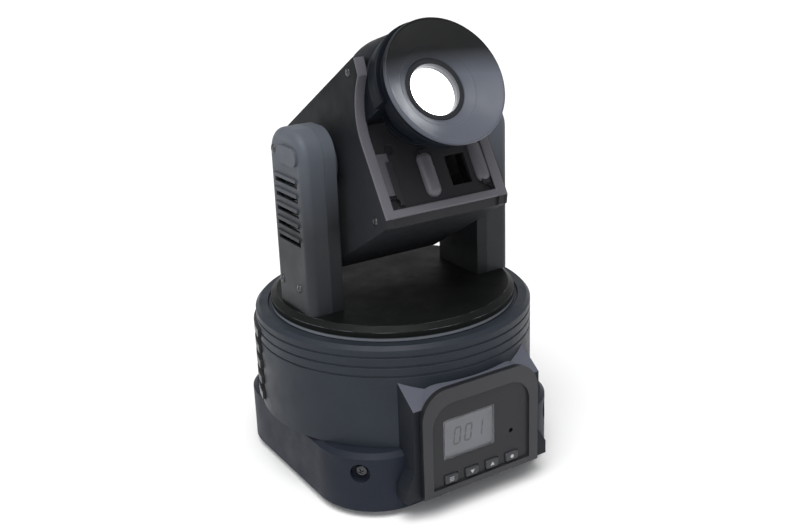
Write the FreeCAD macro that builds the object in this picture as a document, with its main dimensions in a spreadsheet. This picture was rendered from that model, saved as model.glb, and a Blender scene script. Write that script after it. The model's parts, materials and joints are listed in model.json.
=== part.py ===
import FreeCAD, Part
import math
import os
import re
import Sketcher

# Moving head light: a round base with a control panel, a two-armed yoke that
# pans on it, and a head that tilts between the arms.  Millimetres.  The origin
# is on the pan axis at floor level, +Z is up, and the panel faces -Y.

doc = FreeCAD.newDocument("MovingHeadLight")

SIZES = {
    # base
    "foot_height": 5, "foot_radius": 8, "foot_spread": 60,
    "skirt_half": 87.2, "skirt_corner": 42.8, "skirt_top": 45, "skirt_chamfer": 3,
    "shell_wall": 2.5, "plate_low": 6, "plate_high": 8,
    "corner_reach": 105.6, "corner_screw_height": 32, "corner_recess": 6.5, "eye_low": 19.5,
    "bolt_spacing_wide": 100, "bolt_spacing_deep": 60, "bolt_hole": 3.25,
    "stand_hole": 5, "stand_boss": 10, "stand_boss_top": 16,
    "drum_radius": 95, "deck_top": 114, "deck_step": 1.5, "deck_step_radius": 86.5,
    "deck_thick": 2.5, "deck_hole": 45, "rim_chamfer": 2.5,
    "groove_depth": 0.8, "groove_width": 1.6, "groove_pitch": 6.5, "groove_top": 107,
    "vent_middle": 35, "vent_reach": 97, "vent_pitch": 13.5, "vent_low": 51, "vent_fin": 5.5,
    "vent_half_angle": 23,
    # control panel
    "panel_half": 49, "panel_flare": 6.5, "panel_face": 99, "panel_low": 15, "panel_shoulder": 77,
    "roof_high": 93, "roof_back": 78, "arch_half": 43, "arch_spring": 69, "arch_rise": 18,
    "bezel_thick": 2.5, "bezel_frame": 7, "frame_proud": 1.6,
    "display_left": -29, "display_right": 11, "display_low": 38, "display_high": 66,
    "button_height": 24.5, "button_pitch": 16, "button_wide": 10, "button_tall": 6,
    "button_proud": 1.4, "button_gap": 0.3,
    # base machinery
    "chassis_low": 88, "chassis_thick": 2, "chassis_radius": 89,
    "bearing_outer": 27, "hub_radius": 20, "hub_bore": 10, "hub_flange": 40, "shaft_gap": 0.05,
    "pan_pulley_radius": 36, "pan_pinion_radius": 6, "pan_motor_away": 56,
    "motor_side": 42, "pan_motor_tall": 34, "pulley_low": 92.6, "pulley_high": 101.4,
    "flange_lip": 2, "flange_thick": 0.8, "belt_gap": 0.35, "belt_thick": 1.4,
    # rear connectors
    "rear_face": 98.5, "rear_half": 46, "rear_low": 15, "rear_high": 74, "rear_reach": 103.1,
    # yoke
    "disc_radius": 84, "disc_low": 113.2, "disc_high": 122, "disc_skin": 3,
    "tilt_height": 216, "yoke_half": 77.2, "yoke_seam": 62, "yoke_gap_half": 53.6,
    "arm_half_depth": 23.2, "arm_forward": 3.8, "arm_round": 5.5, "arm_top": 25, "arm_corner": 18,
    "arm_foot": 94, "arm_wall": 2, "drive_room": 3.8,
    "louvre_count": 5, "louvre_pitch": 9.6, "louvre_first": -49, "louvre_long": 30,
    "bracket_outer": 70.5, "bracket_inner": 69, "bracket_half_depth": 16, "bracket_low": 117,
    "bracket_rise": 11,
    "boss_face": 47.1, "boss_radius": 17, "shaft_radius": 9, "shaft_bore": 5,
    "tilt_pulley_radius": 15, "tilt_pinion_radius": 3.75, "tilt_motor_drop": 64,
    "tilt_motor_side": 34, "tilt_motor_inner": 56, "tilt_pulley_inner": 71, "tilt_pulley_outer": 74.8,
    # head
    "head_elevation": 31.1, "head_half": 46.1, "side_wall": 2, "head_wall": 2.5,
    "head_top": 39.1, "head_bottom": 62, "head_back": 60, "head_face": 48,
    "neck_reach": 70.5, "neck_low": 28, "neck_curve": 42, "cheek": 2.2, "face_flange": 4.5,
    "lens_height": 10.2, "hood_back": 71, "hood_front": 89.6, "hood_radius": 41.3,
    "hood_back_radius": 37, "hood_mouth": 38.9, "hood_root": 46.3, "hood_flare": 61,
    "tube_radius": 20, "barrel_radius": 24, "brow_root": 50, "brow_radius": 41.5, "brow_half": 39.2,
    "brow_low": 4, "brow_reach": 80, "brow_lip": 43.6, "brow_lip_start": 71.2,
    "tube_front": 75, "cell_gap": 0.1, "lens_radius": 16.3,
    "wheel_radius": 23, "wheel_offset": 17, "wheel_angle": 30, "wheel_thick": 1.2,
    "fan_height": -3, "gobo_plane": 14, "color_plane": 18.5, "micro_motor": 7.5, "pin_radius": 1.5,
}

sheet = doc.addObject("Spreadsheet::Sheet", "Sizes")
for row, (alias, value) in enumerate(SIZES.items(), start=1):
    sheet.set("A%d" % row, alias)
    sheet.set("B%d" % row, str(value))
    sheet.setAlias("B%d" % row, alias)
doc.recompute()

NAMES = re.compile(r"\b(" + "|".join(sorted(SIZES, key=len, reverse=True)) + r")\b")
AXES = {"x": FreeCAD.Vector(1, 0, 0), "y": FreeCAD.Vector(0, 1, 0), "z": FreeCAD.Vector(0, 0, 1)}
PLANES = {"x": "YZ_Plane", "y": "XZ_Plane", "z": "XY_Plane"}
NODES = []


# ---------------------------------------------------------------- expressions

def bound(size):
    """A size as an expression on the sheet's cells."""
    return NAMES.sub(r"Sizes.\1", str(size))


def number(size):
    """The present value of a size in millimetres or degrees."""
    return float(sheet.evalExpression(bound(size)))


def less(size, amount):
    return "%s - (%s)" % (size, amount)


def plus(size, amount):
    return "%s + (%s)" % (size, amount)


def minus(size):
    return "-(%s)" % size


# ------------------------------------------------------------------- outlines

def rectangle(x0, y0, x1, y1):
    return [(x1, y0), (x1, y1), (x0, y1), (x0, y0)]


def centred(cx, cy, half_x, half_y):
    return rectangle(less(cx, half_x), less(cy, half_y), plus(cx, half_x), plus(cy, half_y))


def rounded(x0, y0, x1, y1, radius):
    """A rectangle with round corners, drawn anticlockwise."""
    return [
        (less(x1, radius), y0), (x1, plus(y0, radius), radius),
        (x1, less(y1, radius)), (less(x1, radius), y1, radius),
        (plus(x0, radius), y1), (x0, less(y1, radius), radius),
        (x0, plus(y0, radius)), (plus(x0, radius), y0, radius),
    ]


def circle(cx, cy, radius):
    return ("circle", cx, cy, radius)


# -------------------------------------------------------------- sketch making

def pin_point(sketch, geometry, end, x, y):
    """Hold one end or centre of a sketch curve at a place given by two sizes."""
    for kind, size in (("DistanceX", x), ("DistanceY", y)):
        index = sketch.addConstraint(Sketcher.Constraint(kind, -1, 1, geometry, end, number(size)))
        sketch.setExpression("Constraints[%d]" % index, bound(size))


def set_radius(sketch, geometry, radius):
    index = sketch.addConstraint(Sketcher.Constraint("Radius", geometry, number(radius)))
    sketch.setExpression("Constraints[%d]" % index, bound(radius))


def arc_between(start, end, radius):
    """The short arc from start to end; a negative radius turns clockwise."""
    chord = end - start
    half = chord.Length / 2
    left = FreeCAD.Vector(-chord.y, chord.x, 0) / chord.Length
    rise = math.sqrt(max(radius * radius - half * half, 0))
    centre = start + chord / 2 + left * math.copysign(rise, radius)
    first, last = (start, end) if radius > 0 else (end, start)
    angles = [math.atan2(p.y - centre.y, p.x - centre.x) for p in (first, last)]
    if angles[1] < angles[0]:
        angles[1] += 2 * math.pi
    return Part.ArcOfCircle(Part.Circle(centre, AXES["z"], abs(radius)), *angles)


def draw(sketch, outline):
    """Add one closed outline: a circle, or steps (x, y) and (x, y, arc radius)."""
    if outline[0] == "circle":
        centre = FreeCAD.Vector(number(outline[1]), number(outline[2]), 0)
        curve = sketch.addGeometry(Part.Circle(centre, AXES["z"], number(outline[3])), False)
        pin_point(sketch, curve, 3, outline[1], outline[2])
        set_radius(sketch, curve, outline[3])
        return
    points = [FreeCAD.Vector(number(step[0]), number(step[1]), 0) for step in outline]
    joints = []
    for index, step in enumerate(outline):
        start, end = points[index - 1], points[index]
        if len(step) == 3:
            radius = number(step[2])
            curve = sketch.addGeometry(arc_between(start, end, radius), False)
            joints.append((curve, 1, 2) if radius > 0 else (curve, 2, 1))
            set_radius(sketch, curve, "abs(%s)" % step[2])
        else:
            curve = sketch.addGeometry(Part.LineSegment(start, end), False)
            joints.append((curve, 1, 2))
        pin_point(sketch, curve, joints[-1][2], step[0], step[1])
    for index, (curve, start, end) in enumerate(joints):
        before = joints[index - 1]
        sketch.addConstraint(Sketcher.Constraint("Coincident", before[0], before[2], curve, start))


def new_sketch(body, axis, outlines, lift="0", shift=("0", "0")):
    """A sketch square to an axis, lifted along its normal and shifted in its plane."""
    plane = [item for item in body.Origin.OriginFeatures if item.Role == PLANES[axis]][0]
    sketch = body.newObject("Sketcher::SketchObject", body.Name + "_sketch")
    sketch.AttachmentSupport = [(plane, "")]
    sketch.MapMode = "FlatFace"
    sketch.setExpression("AttachmentOffset.Base.x", bound(shift[0]))
    sketch.setExpression("AttachmentOffset.Base.y", bound(shift[1]))
    sketch.setExpression("AttachmentOffset.Base.z", bound(lift))
    for outline in outlines:
        draw(sketch, outline)
    sketch.Visibility = False
    return sketch


# ------------------------------------------------------------ feature helpers

def keep(item, label):
    """Make an object one of the light's sub-parts."""
    item.Label = label
    NODES.append(item)
    return item


def new_body(name):
    return doc.addObject("PartDesign::Body", name)


def pad(body, axis, outlines, low, high):
    """Add material between two levels on a world axis."""
    lift = minus(high) if axis == "y" else low
    feature = body.newObject("PartDesign::Pad", body.Name + "_pad")
    feature.Profile = new_sketch(body, axis, outlines, lift)
    feature.setExpression("Length", bound(less(high, low)))
    doc.recompute()
    return body


def pocket(body, axis, outlines, low, high):
    """Cut material away between two levels on a world axis."""
    before = body.Shape.Volume
    lift = minus(low) if axis == "y" else high
    sketch = new_sketch(body, axis, outlines, lift)
    feature = body.newObject("PartDesign::Pocket", body.Name + "_pocket")
    feature.Profile = sketch
    feature.setExpression("Length", bound(less(high, low)))
    doc.recompute()
    if body.Shape.Volume > before - 0.01:
        raise ValueError("a pocket cuts nothing in " + body.Name)
    return body


def turn(body, axis, profile, centre=("0", "0")):
    """Add a turned shape; its profile is steps of (place along the axis, radius)."""
    plane = "y" if axis in "xz" else "x"
    line = "V_Axis" if axis == "z" else "H_Axis"
    steps = [(step[1], step[0]) + tuple(step[2:]) for step in profile] if axis == "z" else profile
    shift, lift = {
        "z": ((centre[0], "0"), minus(centre[1])),
        "x": (("0", centre[1]), minus(centre[0])),
        "y": (("0", centre[1]), centre[0]),
    }[axis]
    sketch = new_sketch(body, plane, [steps], lift, shift)
    feature = body.newObject("PartDesign::Revolution", body.Name + "_turn")
    feature.Profile = sketch
    feature.ReferenceAxis = (sketch, [line])
    feature.Angle = 360
    doc.recompute()
    return feature


def ring_profile(low, high, inner, outer):
    return [(high, inner), (high, outer), (low, outer), (low, inner)]


def dress(body, kind, edges, size):
    """Fillet or chamfer named edges of the body's present shape."""
    feature = body.newObject("PartDesign::" + kind, body.Name + "_" + kind.lower())
    base = [item for item in body.Group if item.isDerivedFrom("PartDesign::Feature")][-2]
    feature.Base = (base, edges)
    feature.setExpression("Radius" if kind == "Fillet" else "Size", bound(size))
    doc.recompute()
    return body


def rod(name, axis, radius, low, high, centre=("0", "0")):
    """A Part cylinder along a world axis between two levels."""
    item = doc.addObject("Part::Cylinder", name)
    item.setExpression("Radius", bound(radius))
    item.setExpression("Height", bound(less(high, low)))
    turns = {"x": (AXES["y"], 90), "y": (AXES["x"], -90), "z": (AXES["z"], 0)}
    item.Placement.Rotation = FreeCAD.Rotation(*turns[axis])
    others = [letter for letter in "xyz" if letter != axis]
    item.setExpression("Placement.Base." + axis, bound(low))
    item.setExpression("Placement.Base." + others[0], bound(centre[0]))
    item.setExpression("Placement.Base." + others[1], bound(centre[1]))
    return item


def block(name, low, high):
    """A Part box between two corners."""
    item = doc.addObject("Part::Box", name)
    for letter, side, start, end in zip("xyz", ("Length", "Width", "Height"), low, high):
        item.setExpression(side, bound(less(end, start)))
        item.setExpression("Placement.Base." + letter, bound(start))
    return item


def fused(name, items):
    item = doc.addObject("Part::MultiFuse", name)
    item.Shapes = items
    return item


def cut(name, base, tools):
    item = doc.addObject("Part::Cut", name)
    item.Base = base
    item.Tool = tools[0] if len(tools) == 1 else fused(name + "_tools", tools)
    doc.recompute()
    return item


def mirrored(name, source):
    """The same piece on the other side of the pan axis, left for right."""
    item = doc.addObject("Part::Mirroring", name)
    item.Source = source
    item.Normal = AXES["x"]
    return item


def in_yoke(item):
    """Lift a piece drawn about the tilt axis to its height."""
    item.setExpression("Placement.Base.z", bound("tilt_height"))
    return item


def in_head(item):
    """Lift a piece drawn with the head level to the tilt axis and raise its nose."""
    item.Placement.Rotation = FreeCAD.Rotation(FreeCAD.Vector(-1, 0, 0), 1)
    item.setExpression("Placement.Rotation.Angle", bound("head_elevation"))
    return in_yoke(item)


def around(radius, angle):
    """Two expressions for a place at an angle in degrees on a circle."""
    return "(%s) * cos(%s deg)" % (radius, angle), "(%s) * sin(%s deg)" % (radius, angle)


FOUR = [(1, 1), (-1, 1), (-1, -1), (1, -1)]


# ----------------------------------------------------------------------- base

def make_base_plate():
    body = new_body("base_plate")
    half = "(skirt_half - shell_wall)"
    pad(body, "z", [rounded(minus(half), minus(half), half, half, "(skirt_corner - shell_wall)")],
        "plate_low", "plate_high")
    pad(body, "z", [circle("0", "0", "stand_boss")], "plate_low", "stand_boss_top")
    holes = [circle("0", "0", "stand_hole")]
    pocket(body, "z", holes, "plate_low", "stand_boss_top")
    holes = [circle("%d * bolt_spacing_wide / 2" % sx, "%d * bolt_spacing_deep / 2" % sy, "bolt_hole")
             for sx, sy in FOUR]
    pocket(body, "z", holes, "plate_low", "plate_high")
    keep(body, "base_plate")


def make_rubber_feet():
    body = new_body("rubber_feet")
    spots = [("%d * foot_spread" % sx, "%d * foot_spread" % sy) for sx, sy in FOUR]
    pad(body, "z", [circle(x, y, "foot_radius") for x, y in spots], "0", "plate_low")
    pocket(body, "z", [circle(x, y, "foot_radius / 2") for x, y in spots], "0", "foot_height - 0.5")
    keep(body, "rubber_feet")


CORNERS = (45, 135, 225, 315)


def corner_rods(name, radius, low, high):
    """Four rods that point outwards at the corners of the base."""
    rods = []
    for angle in CORNERS:
        item = doc.addObject("Part::Cylinder", "%s_%d" % (name, angle))
        item.setExpression("Radius", bound(radius))
        item.setExpression("Height", bound(less(high, low)))
        item.Placement.Rotation = FreeCAD.Rotation(AXES["z"], angle) * FreeCAD.Rotation(AXES["y"], 90)
        x, y = around(low, angle)
        item.setExpression("Placement.Base.x", bound(x))
        item.setExpression("Placement.Base.y", bound(y))
        item.setExpression("Placement.Base.z", bound("corner_screw_height"))
        rods.append(item)
    return rods


def make_base_skirt():
    body = new_body("skirt_shell")
    pad(body, "z", [rounded(minus("skirt_half"), minus("skirt_half"), "skirt_half", "skirt_half",
                            "skirt_corner")], "foot_height", "skirt_top")
    half = "(skirt_half - shell_wall)"
    inner = rounded(minus(half), minus(half), half, half, "(skirt_corner - shell_wall)")
    pocket(body, "z", [inner], "foot_height", "skirt_top - shell_wall")
    pocket(body, "z", [circle("0", "0", "skirt_half - 4 * shell_wall")], "foot_height", "skirt_top")
    rims = []
    for index, edge in enumerate(body.Shape.Edges, start=1):
        centre = edge.CenterOfMass
        outside = max(abs(centre.x), abs(centre.y)) > number("skirt_half - skirt_corner / 2")
        level = abs(edge.BoundBox.ZMin - number("skirt_top")) < 1e-3 and edge.BoundBox.ZLength < 1e-3
        if outside and level and abs(edge.BoundBox.XLength) + abs(edge.BoundBox.YLength) < 180:
            rims.append("Edge%d" % index)
    dress(body, "Chamfer", rims, "skirt_chamfer")
    bosses = corner_rods("corner_boss", "corner_recess + shell_wall", "corner_reach - 10",
                         "corner_reach - 1.5")
    holed = cut("skirt_with_recesses", fused("skirt_with_bosses", [body] + bosses),
                corner_rods("corner_recess_cut", "corner_recess", "corner_reach - 5", "corner_reach + 5")
                + corner_rods("corner_hole_cut", "2", "corner_reach - 20", "corner_reach"))
    mouths = [
        block("skirt_front_mouth", (minus("panel_half - 4"), "-corner_reach", "panel_low + 3"),
              ("panel_half - 4", "-skirt_half + 2 * shell_wall", "skirt_top + 1")),
        block("skirt_rear_mouth", (minus("rear_half - 4"), "skirt_half - 2 * shell_wall", "rear_low + 3"),
              ("rear_half - 4", "corner_reach", "skirt_top + 1")),
    ]
    slot = eye_body("eye_slot")
    keep(cut("skirt_finished", holed, mouths + [slot]), "base_skirt")


def make_base_screws():
    feet = []
    for index, (sx, sy) in enumerate(FOUR):
        spot = ("%d * foot_spread" % sx, "%d * foot_spread" % sy)
        head = rod("foot_screw_head_%d" % index, "z", "3.4", "foot_height / 2", "foot_height / 2 + 2", spot)
        feet.append(head)
    corners = corner_rods("corner_screw_head", "4", "corner_reach - 5", "corner_reach - 2.6")
    shanks = corner_rods("corner_screw_shank", "2", "corner_reach - 14", "corner_reach - 5")
    slots = corner_rods("corner_screw_drive", "1.5", "corner_reach - 4", "corner_reach - 2")
    heads = cut("screw_heads", fused("screw_blanks", corners + shanks), slots)
    keep(fused("base_screws", feet + [heads]), "base_screws")


def make_base_drum():
    body = new_body("drum_shell")
    profile = [("skirt_top", "drum_radius")]
    for index in (2, 1, 0):
        middle = "(groove_top - %d * groove_pitch)" % index
        profile += [
            (less(middle, "groove_width / 2"), "drum_radius"),
            (less(middle, "groove_width / 4"), "drum_radius - groove_depth"),
            (plus(middle, "groove_width / 4"), "drum_radius - groove_depth"),
            (plus(middle, "groove_width / 2"), "drum_radius"),
        ]
    floor = "deck_top - deck_step"
    profile += [
        ("deck_top - rim_chamfer", "drum_radius"), ("deck_top", "drum_radius - rim_chamfer"),
        ("deck_top", "deck_step_radius"), (floor, "deck_step_radius - 0.6"), (floor, "deck_hole"),
        (floor + " - deck_thick", "deck_hole"), (floor + " - deck_thick", "drum_radius - shell_wall"),
        ("skirt_top + shell_wall", "drum_radius - shell_wall"),
        ("skirt_top + shell_wall", "drum_radius - 6 * shell_wall"),
        ("skirt_top", "drum_radius - 6 * shell_wall"),
    ]
    turn(body, "z", profile)
    wedges = [vent_wedge("drum_window_" + side, middle, "drum_radius - 9", "vent_reach + 3",
                         "vent_low - 2", "vent_low + 4 * vent_pitch + vent_fin - 8", "vent_half_angle + 0.4")
              for side, middle in VENT_SIDES]
    front = block("drum_front_mouth", (minus("panel_half - 6"), "-corner_reach", "skirt_top - 1"),
                  ("panel_half - 6", "-panel_half", "panel_shoulder - 3"))
    rear = block("drum_rear_mouth", (minus("rear_half - 4"), "panel_half", "skirt_top - 1"),
                 ("rear_half - 4", "corner_reach", "rear_high - 2.5"))
    keep(cut("base_drum", body, wedges + [front, rear]), "base_drum")


VENT_SIDES = (("right", "vent_middle"), ("left", "(180 - vent_middle)"))


def vent_wedge(name, middle, inner, outer, low, high, half_angle):
    """A sector of a ring about the pan axis, centred on an angle."""
    item = doc.addObject("Part::Cylinder", name + "_sector")
    item.setExpression("Radius", bound(outer))
    item.setExpression("Height", bound(less(high, low)))
    item.setExpression("Angle", bound("2 * (%s)" % half_angle))
    item.setExpression("Placement.Base.z", bound(low))
    item.Placement.Rotation = FreeCAD.Rotation(AXES["z"], 1)
    item.setExpression("Placement.Rotation.Angle", bound(less(middle, half_angle)))
    return cut(name, item, [rod(name + "_core", "z", inner, less(low, "1"), plus(high, "1"))])


def make_side_vents():
    """Louvred inserts in the sides of the drum: a thin back and stacked fins."""
    sides = []
    for side, middle in VENT_SIDES:
        top = "vent_low + 4 * vent_pitch + vent_fin - 8"
        pieces = [vent_wedge("vent_back_" + side, middle, "drum_radius - 5", "drum_radius - 3",
                             "vent_low - 2", top, "vent_half_angle")]
        for index in range(5):
            low = "vent_low + %d * (vent_pitch - 2)" % index
            pieces.append(vent_wedge("vent_fin_%s_%d" % (side, index), middle, "drum_radius - 4",
                                     "vent_reach", low, plus(low, "vent_fin"), "vent_half_angle"))
        sides.append(fused("vent_" + side, pieces))
    keep(fused("side_vents", sides), "side_vents")


def panel_outline():
    """Front view of the panel housing, which flares out a little at its foot."""
    foot = "(panel_half + panel_flare)"
    return [
        (foot, "panel_low"), (foot, "panel_low + 9"), ("panel_half", "panel_low + 20"),
        ("panel_half", "roof_high"), (minus("panel_half"), "roof_high"),
        (minus("panel_half"), "panel_low + 20"), (minus(foot), "panel_low + 9"),
        (minus(foot), "panel_low"),
    ]


def arch_outline(half, low, spring, rise):
    """An upright plate whose top corners are large quarter rounds."""
    top = plus(spring, rise)
    return [
        (half, low), (half, spring), (less(half, rise), top, rise),
        (minus(less(half, rise)), top), (minus(half), spring, rise), (minus(half), low),
    ]


def make_panel_housing():
    """A shouldered box on the front of the drum, with an arched tunnel through its roof."""
    block_body = new_body("housing_block")
    pad(block_body, "y", [panel_outline()], "-panel_face", "-skirt_half + 1")
    slope = [("-panel_face - 5", "panel_shoulder"), ("-panel_face", "panel_shoulder"),
             ("-roof_back", "roof_high"), ("-roof_back", "roof_high + 10"),
             ("-panel_face - 5", "roof_high + 10")]
    deep = new_body("housing_deep")
    side = "(panel_half)"
    pad(deep, "y", [rectangle(minus(side), "skirt_top", side, "roof_high")], "-skirt_half", "-roof_back + 20")
    outer = fused("housing_outer", [block_body, deep])
    roof_cutter = new_body("roof_cutter")
    pad(roof_cutter, "x", [slope], "-panel_half - 10", "panel_half + 10")
    tunnel = new_body("arch_tunnel")
    pad(tunnel, "y", [arch_outline("arch_half", "panel_low + 5", "arch_spring", "arch_rise")],
        "-panel_face", "-roof_back")
    solid = fused("housing_solid", [cut("housing_sloped", outer, [roof_cutter]), tunnel])
    inside = new_body("housing_inside")
    wall = "(panel_half - shell_wall)"
    pad(inside, "y", [rectangle(minus(wall), "panel_low + 3", wall, "panel_shoulder - 3.5")],
        "-panel_face + 3", "-roof_back + 30")
    mouth = new_body("housing_mouth")
    pad(mouth, "y", [rectangle(minus("arch_half - 2"), "panel_low + 4", "arch_half - 2", "arch_spring")],
        "-panel_face - 1", "-panel_face + 4")
    arch_inside = new_body("arch_inside")
    pad(arch_inside, "y", [arch_outline("arch_half - shell_wall", "panel_low + 10",
                                        "arch_spring - shell_wall", "arch_rise - 1")],
        "-panel_face - 1", "-roof_back")
    drum = rod("housing_drum_cut", "z", "drum_radius", "skirt_top", "deck_top")
    skirt = block("housing_skirt_cut", ("-corner_reach", "-skirt_half", "0"),
                  ("corner_reach", "0", "skirt_top"))
    keep(cut("panel_housing", solid, [inside, mouth, arch_inside, drum, skirt]), "panel_housing")


def button_places():
    return ["%.1f * button_pitch" % step for step in (-1.5, -0.5, 0.5, 1.5)]


def make_panel_bezel():
    body = new_body("panel_bezel")
    low = "panel_low + 1"
    pad(body, "y", [arch_outline("arch_half + 2", low, "arch_spring", "arch_rise + 1")],
        "-panel_face - bezel_thick", "-panel_face")
    inner = "(arch_half + 2 - bezel_frame)"
    rim = arch_outline("arch_half + 2", low, "arch_spring", "arch_rise + 1")
    well = arch_outline(inner, "panel_low + 5", "arch_spring - bezel_frame", "arch_rise - 2")
    pad(body, "y", [rim, well], "-panel_face - bezel_thick - frame_proud", "-panel_face - bezel_thick")
    window = rounded("display_left", "display_low", "display_right", "display_high", "1.5")
    gap = "button_gap"
    keys = [centred(x, "button_height", plus("button_wide / 2", gap), plus("button_tall / 2", gap))
            for x in button_places()]
    pocket(body, "y", [window] + keys, "-panel_face - bezel_thick", "-panel_face")
    pocket(body, "y", [circle("24", "display_low + 5", "1.6")], "-panel_face - bezel_thick", "-panel_face")
    keep(body, "panel_bezel")


def make_display():
    window = new_body("display_window")
    gap = "0.1"
    pad(window, "y", [rounded(plus("display_left", gap), plus("display_low", gap),
                              less("display_right", gap), less("display_high", gap), "1.5")],
        "-panel_face - bezel_thick + 0.4", "-panel_face - bezel_thick + 1.9")
    keep(window, "display_window")
    module = new_body("display_module")
    pad(module, "y", [rectangle("display_left - 3", "display_low - 3", "display_right + 3",
                                "display_high + 3")], "-panel_face + 0.5", "-panel_face + 6")
    pad(module, "y", [rectangle("display_left + 2", "display_low + 2", "display_right - 2",
                                "display_high - 2")], "-panel_face - 0.4", "-panel_face + 0.5")
    keep(module, "display_module")


def make_panel_pcb():
    body = new_body("panel_pcb")
    pad(body, "y", [rectangle("-38", "panel_low + 4", "38", "display_high + 4")],
        "-panel_face + 6", "-panel_face + 7.6")
    switches = [centred(x, "button_height", "3", "2.6") for x in button_places()]
    pad(body, "y", switches, "-panel_face + 3", "-panel_face + 6")
    lamps = [circle("24", "display_high - 6 - %d * 6" % index, "1.5") for index in range(4)]
    pad(body, "y", lamps, "-panel_face + 1", "-panel_face + 6")
    keep(body, "panel_pcb")


def make_buttons():
    names = ("button_menu", "button_down", "button_up", "button_enter")
    for name, x in zip(names, button_places()):
        body = new_body(name)
        face = "-panel_face - bezel_thick - button_proud"
        pad(body, "y", [rounded(less(x, "button_wide / 2"), less("button_height", "button_tall / 2"),
                                plus(x, "button_wide / 2"), plus("button_height", "button_tall / 2"),
                                "1.4")], face, "-panel_face + 0.4")
        pad(body, "y", [centred(x, "button_height", "1.5", "1.5")], "-panel_face + 0.4", "-panel_face + 2")
        keep(body, name)


def make_base_chassis():
    body = new_body("base_chassis")
    pad(body, "z", [circle("0", "0", "chassis_radius")], "chassis_low", "chassis_low + chassis_thick")
    legs = [centred("%d * 48" % sx, "%d * 50" % sy, "5", "4") for sx, sy in FOUR]
    pad(body, "z", legs, "plate_high", "chassis_low")
    pocket(body, "z", [circle("0", "0", "bearing_outer"), circle("-pan_motor_away", "0", "11")],
           "chassis_low", "chassis_low + chassis_thick")
    keep(body, "base_chassis")


def make_pan_drive():
    bearing = new_body("pan_bearing")
    turn(bearing, "z", ring_profile("chassis_low - 5", "chassis_low + 4", "hub_radius + shaft_gap",
                                    "bearing_outer"))
    keep(bearing, "pan_bearing")
    motor = new_body("pan_motor")
    half = "(motor_side / 2)"
    pad(motor, "z", [rounded(less("-pan_motor_away", half), minus(half), plus("-pan_motor_away", half),
                             half, "4")], "chassis_low - pan_motor_tall", "chassis_low")
    pocket(motor, "z", [circle("-pan_motor_away", "0", "2.5 + shaft_gap")], "chassis_low - 6", "chassis_low")
    keep(motor, "pan_motor")
    pinion = new_body("pan_motor_pulley")
    away = ("-pan_motor_away", "0")
    turn(pinion, "z", pulley_profile("pulley_low", "pulley_high", "0", "pan_pinion_radius"), away)
    turn(pinion, "z", ring_profile("chassis_low - 5.5", "pulley_low", "0", "2.5"), away)
    keep(pinion, "pan_motor_pulley")
    pulley = new_body("pan_pulley")
    turn(pulley, "z", pulley_profile("pulley_low", "pulley_high", "hub_radius", "pan_pulley_radius"))
    keep(pulley, "pan_pulley")
    middle = number("(pulley_low + pulley_high) / 2")
    belt = belt_shape(number("pan_pulley_radius + belt_gap"), number("pan_pinion_radius + belt_gap"),
                      number("pan_motor_away"), number("belt_thick"), 6)
    item = doc.addObject("Part::Feature", "pan_belt")
    item.Shape = belt
    item.Placement = FreeCAD.Placement(FreeCAD.Vector(0, 0, middle - 3), FreeCAD.Rotation(AXES["z"], 180))
    keep(item, "pan_belt")


def pulley_profile(low, high, inner, outer):
    """A belt pulley with a lip at each side."""
    lip = plus(outer, "flange_lip")
    return [
        (high, inner), (high, lip), (less(high, "flange_thick"), lip), (less(high, "flange_thick"), outer),
        (plus(low, "flange_thick"), outer), (plus(low, "flange_thick"), lip), (low, lip), (low, inner),
    ]


def belt_loop(big, small, distance):
    """A closed wire round two circles on the X axis, the small one at +X."""
    lean = math.acos((big - small) / distance)
    up = FreeCAD.Vector(math.cos(lean), math.sin(lean), 0)
    down = FreeCAD.Vector(up.x, -up.y, 0)
    far = FreeCAD.Vector(distance, 0, 0)
    back = Part.Arc(up * big, FreeCAD.Vector(-big, 0, 0), down * big)
    lower = Part.LineSegment(down * big, far + down * small)
    nose = Part.Arc(far + down * small, far + FreeCAD.Vector(small, 0, 0), far + up * small)
    upper = Part.LineSegment(far + up * small, up * big)
    return Part.Wire([curve.toShape() for curve in (back, lower, nose, upper)])


def belt_shape(big, small, distance, thick, width):
    outer = Part.Face(belt_loop(big + thick, small + thick, distance))
    inner = Part.Face(belt_loop(big, small, distance))
    return outer.cut(inner).extrude(FreeCAD.Vector(0, 0, width))


def make_electronics():
    supply = new_body("power_supply")
    pad(supply, "z", [rectangle("-34", "14", "34", "62")], "plate_high", "plate_high + 30")
    keep(supply, "power_supply")
    board = new_body("main_pcb")
    pad(board, "z", [rectangle("-42", "-66", "42", "-16")], "plate_high + 8", "plate_high + 9.6")
    stands = [centred("%d * 36" % sx, "-41 + %d * 20" % sy, "3", "3") for sx, sy in FOUR]
    pad(board, "z", stands, "plate_high", "plate_high + 8")
    chips = [rectangle("-34", "-58", "-14", "-44"), rectangle("-6", "-56", "8", "-42"),
             rectangle("16", "-60", "36", "-50"), rectangle("-30", "-36", "-10", "-24"),
             rectangle("2", "-34", "30", "-22")]
    pad(board, "z", chips, "plate_high + 9.6", "plate_high + 13")
    keep(board, "main_pcb")


# ----------------------------------------------------------- rear connectors

INLET = ("0", "rear_low + 17")
DMX_HEIGHT = "rear_low + 44"
DMX_PLACES = {"dmx_in_socket": "-22", "dmx_out_socket": "22"}


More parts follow.
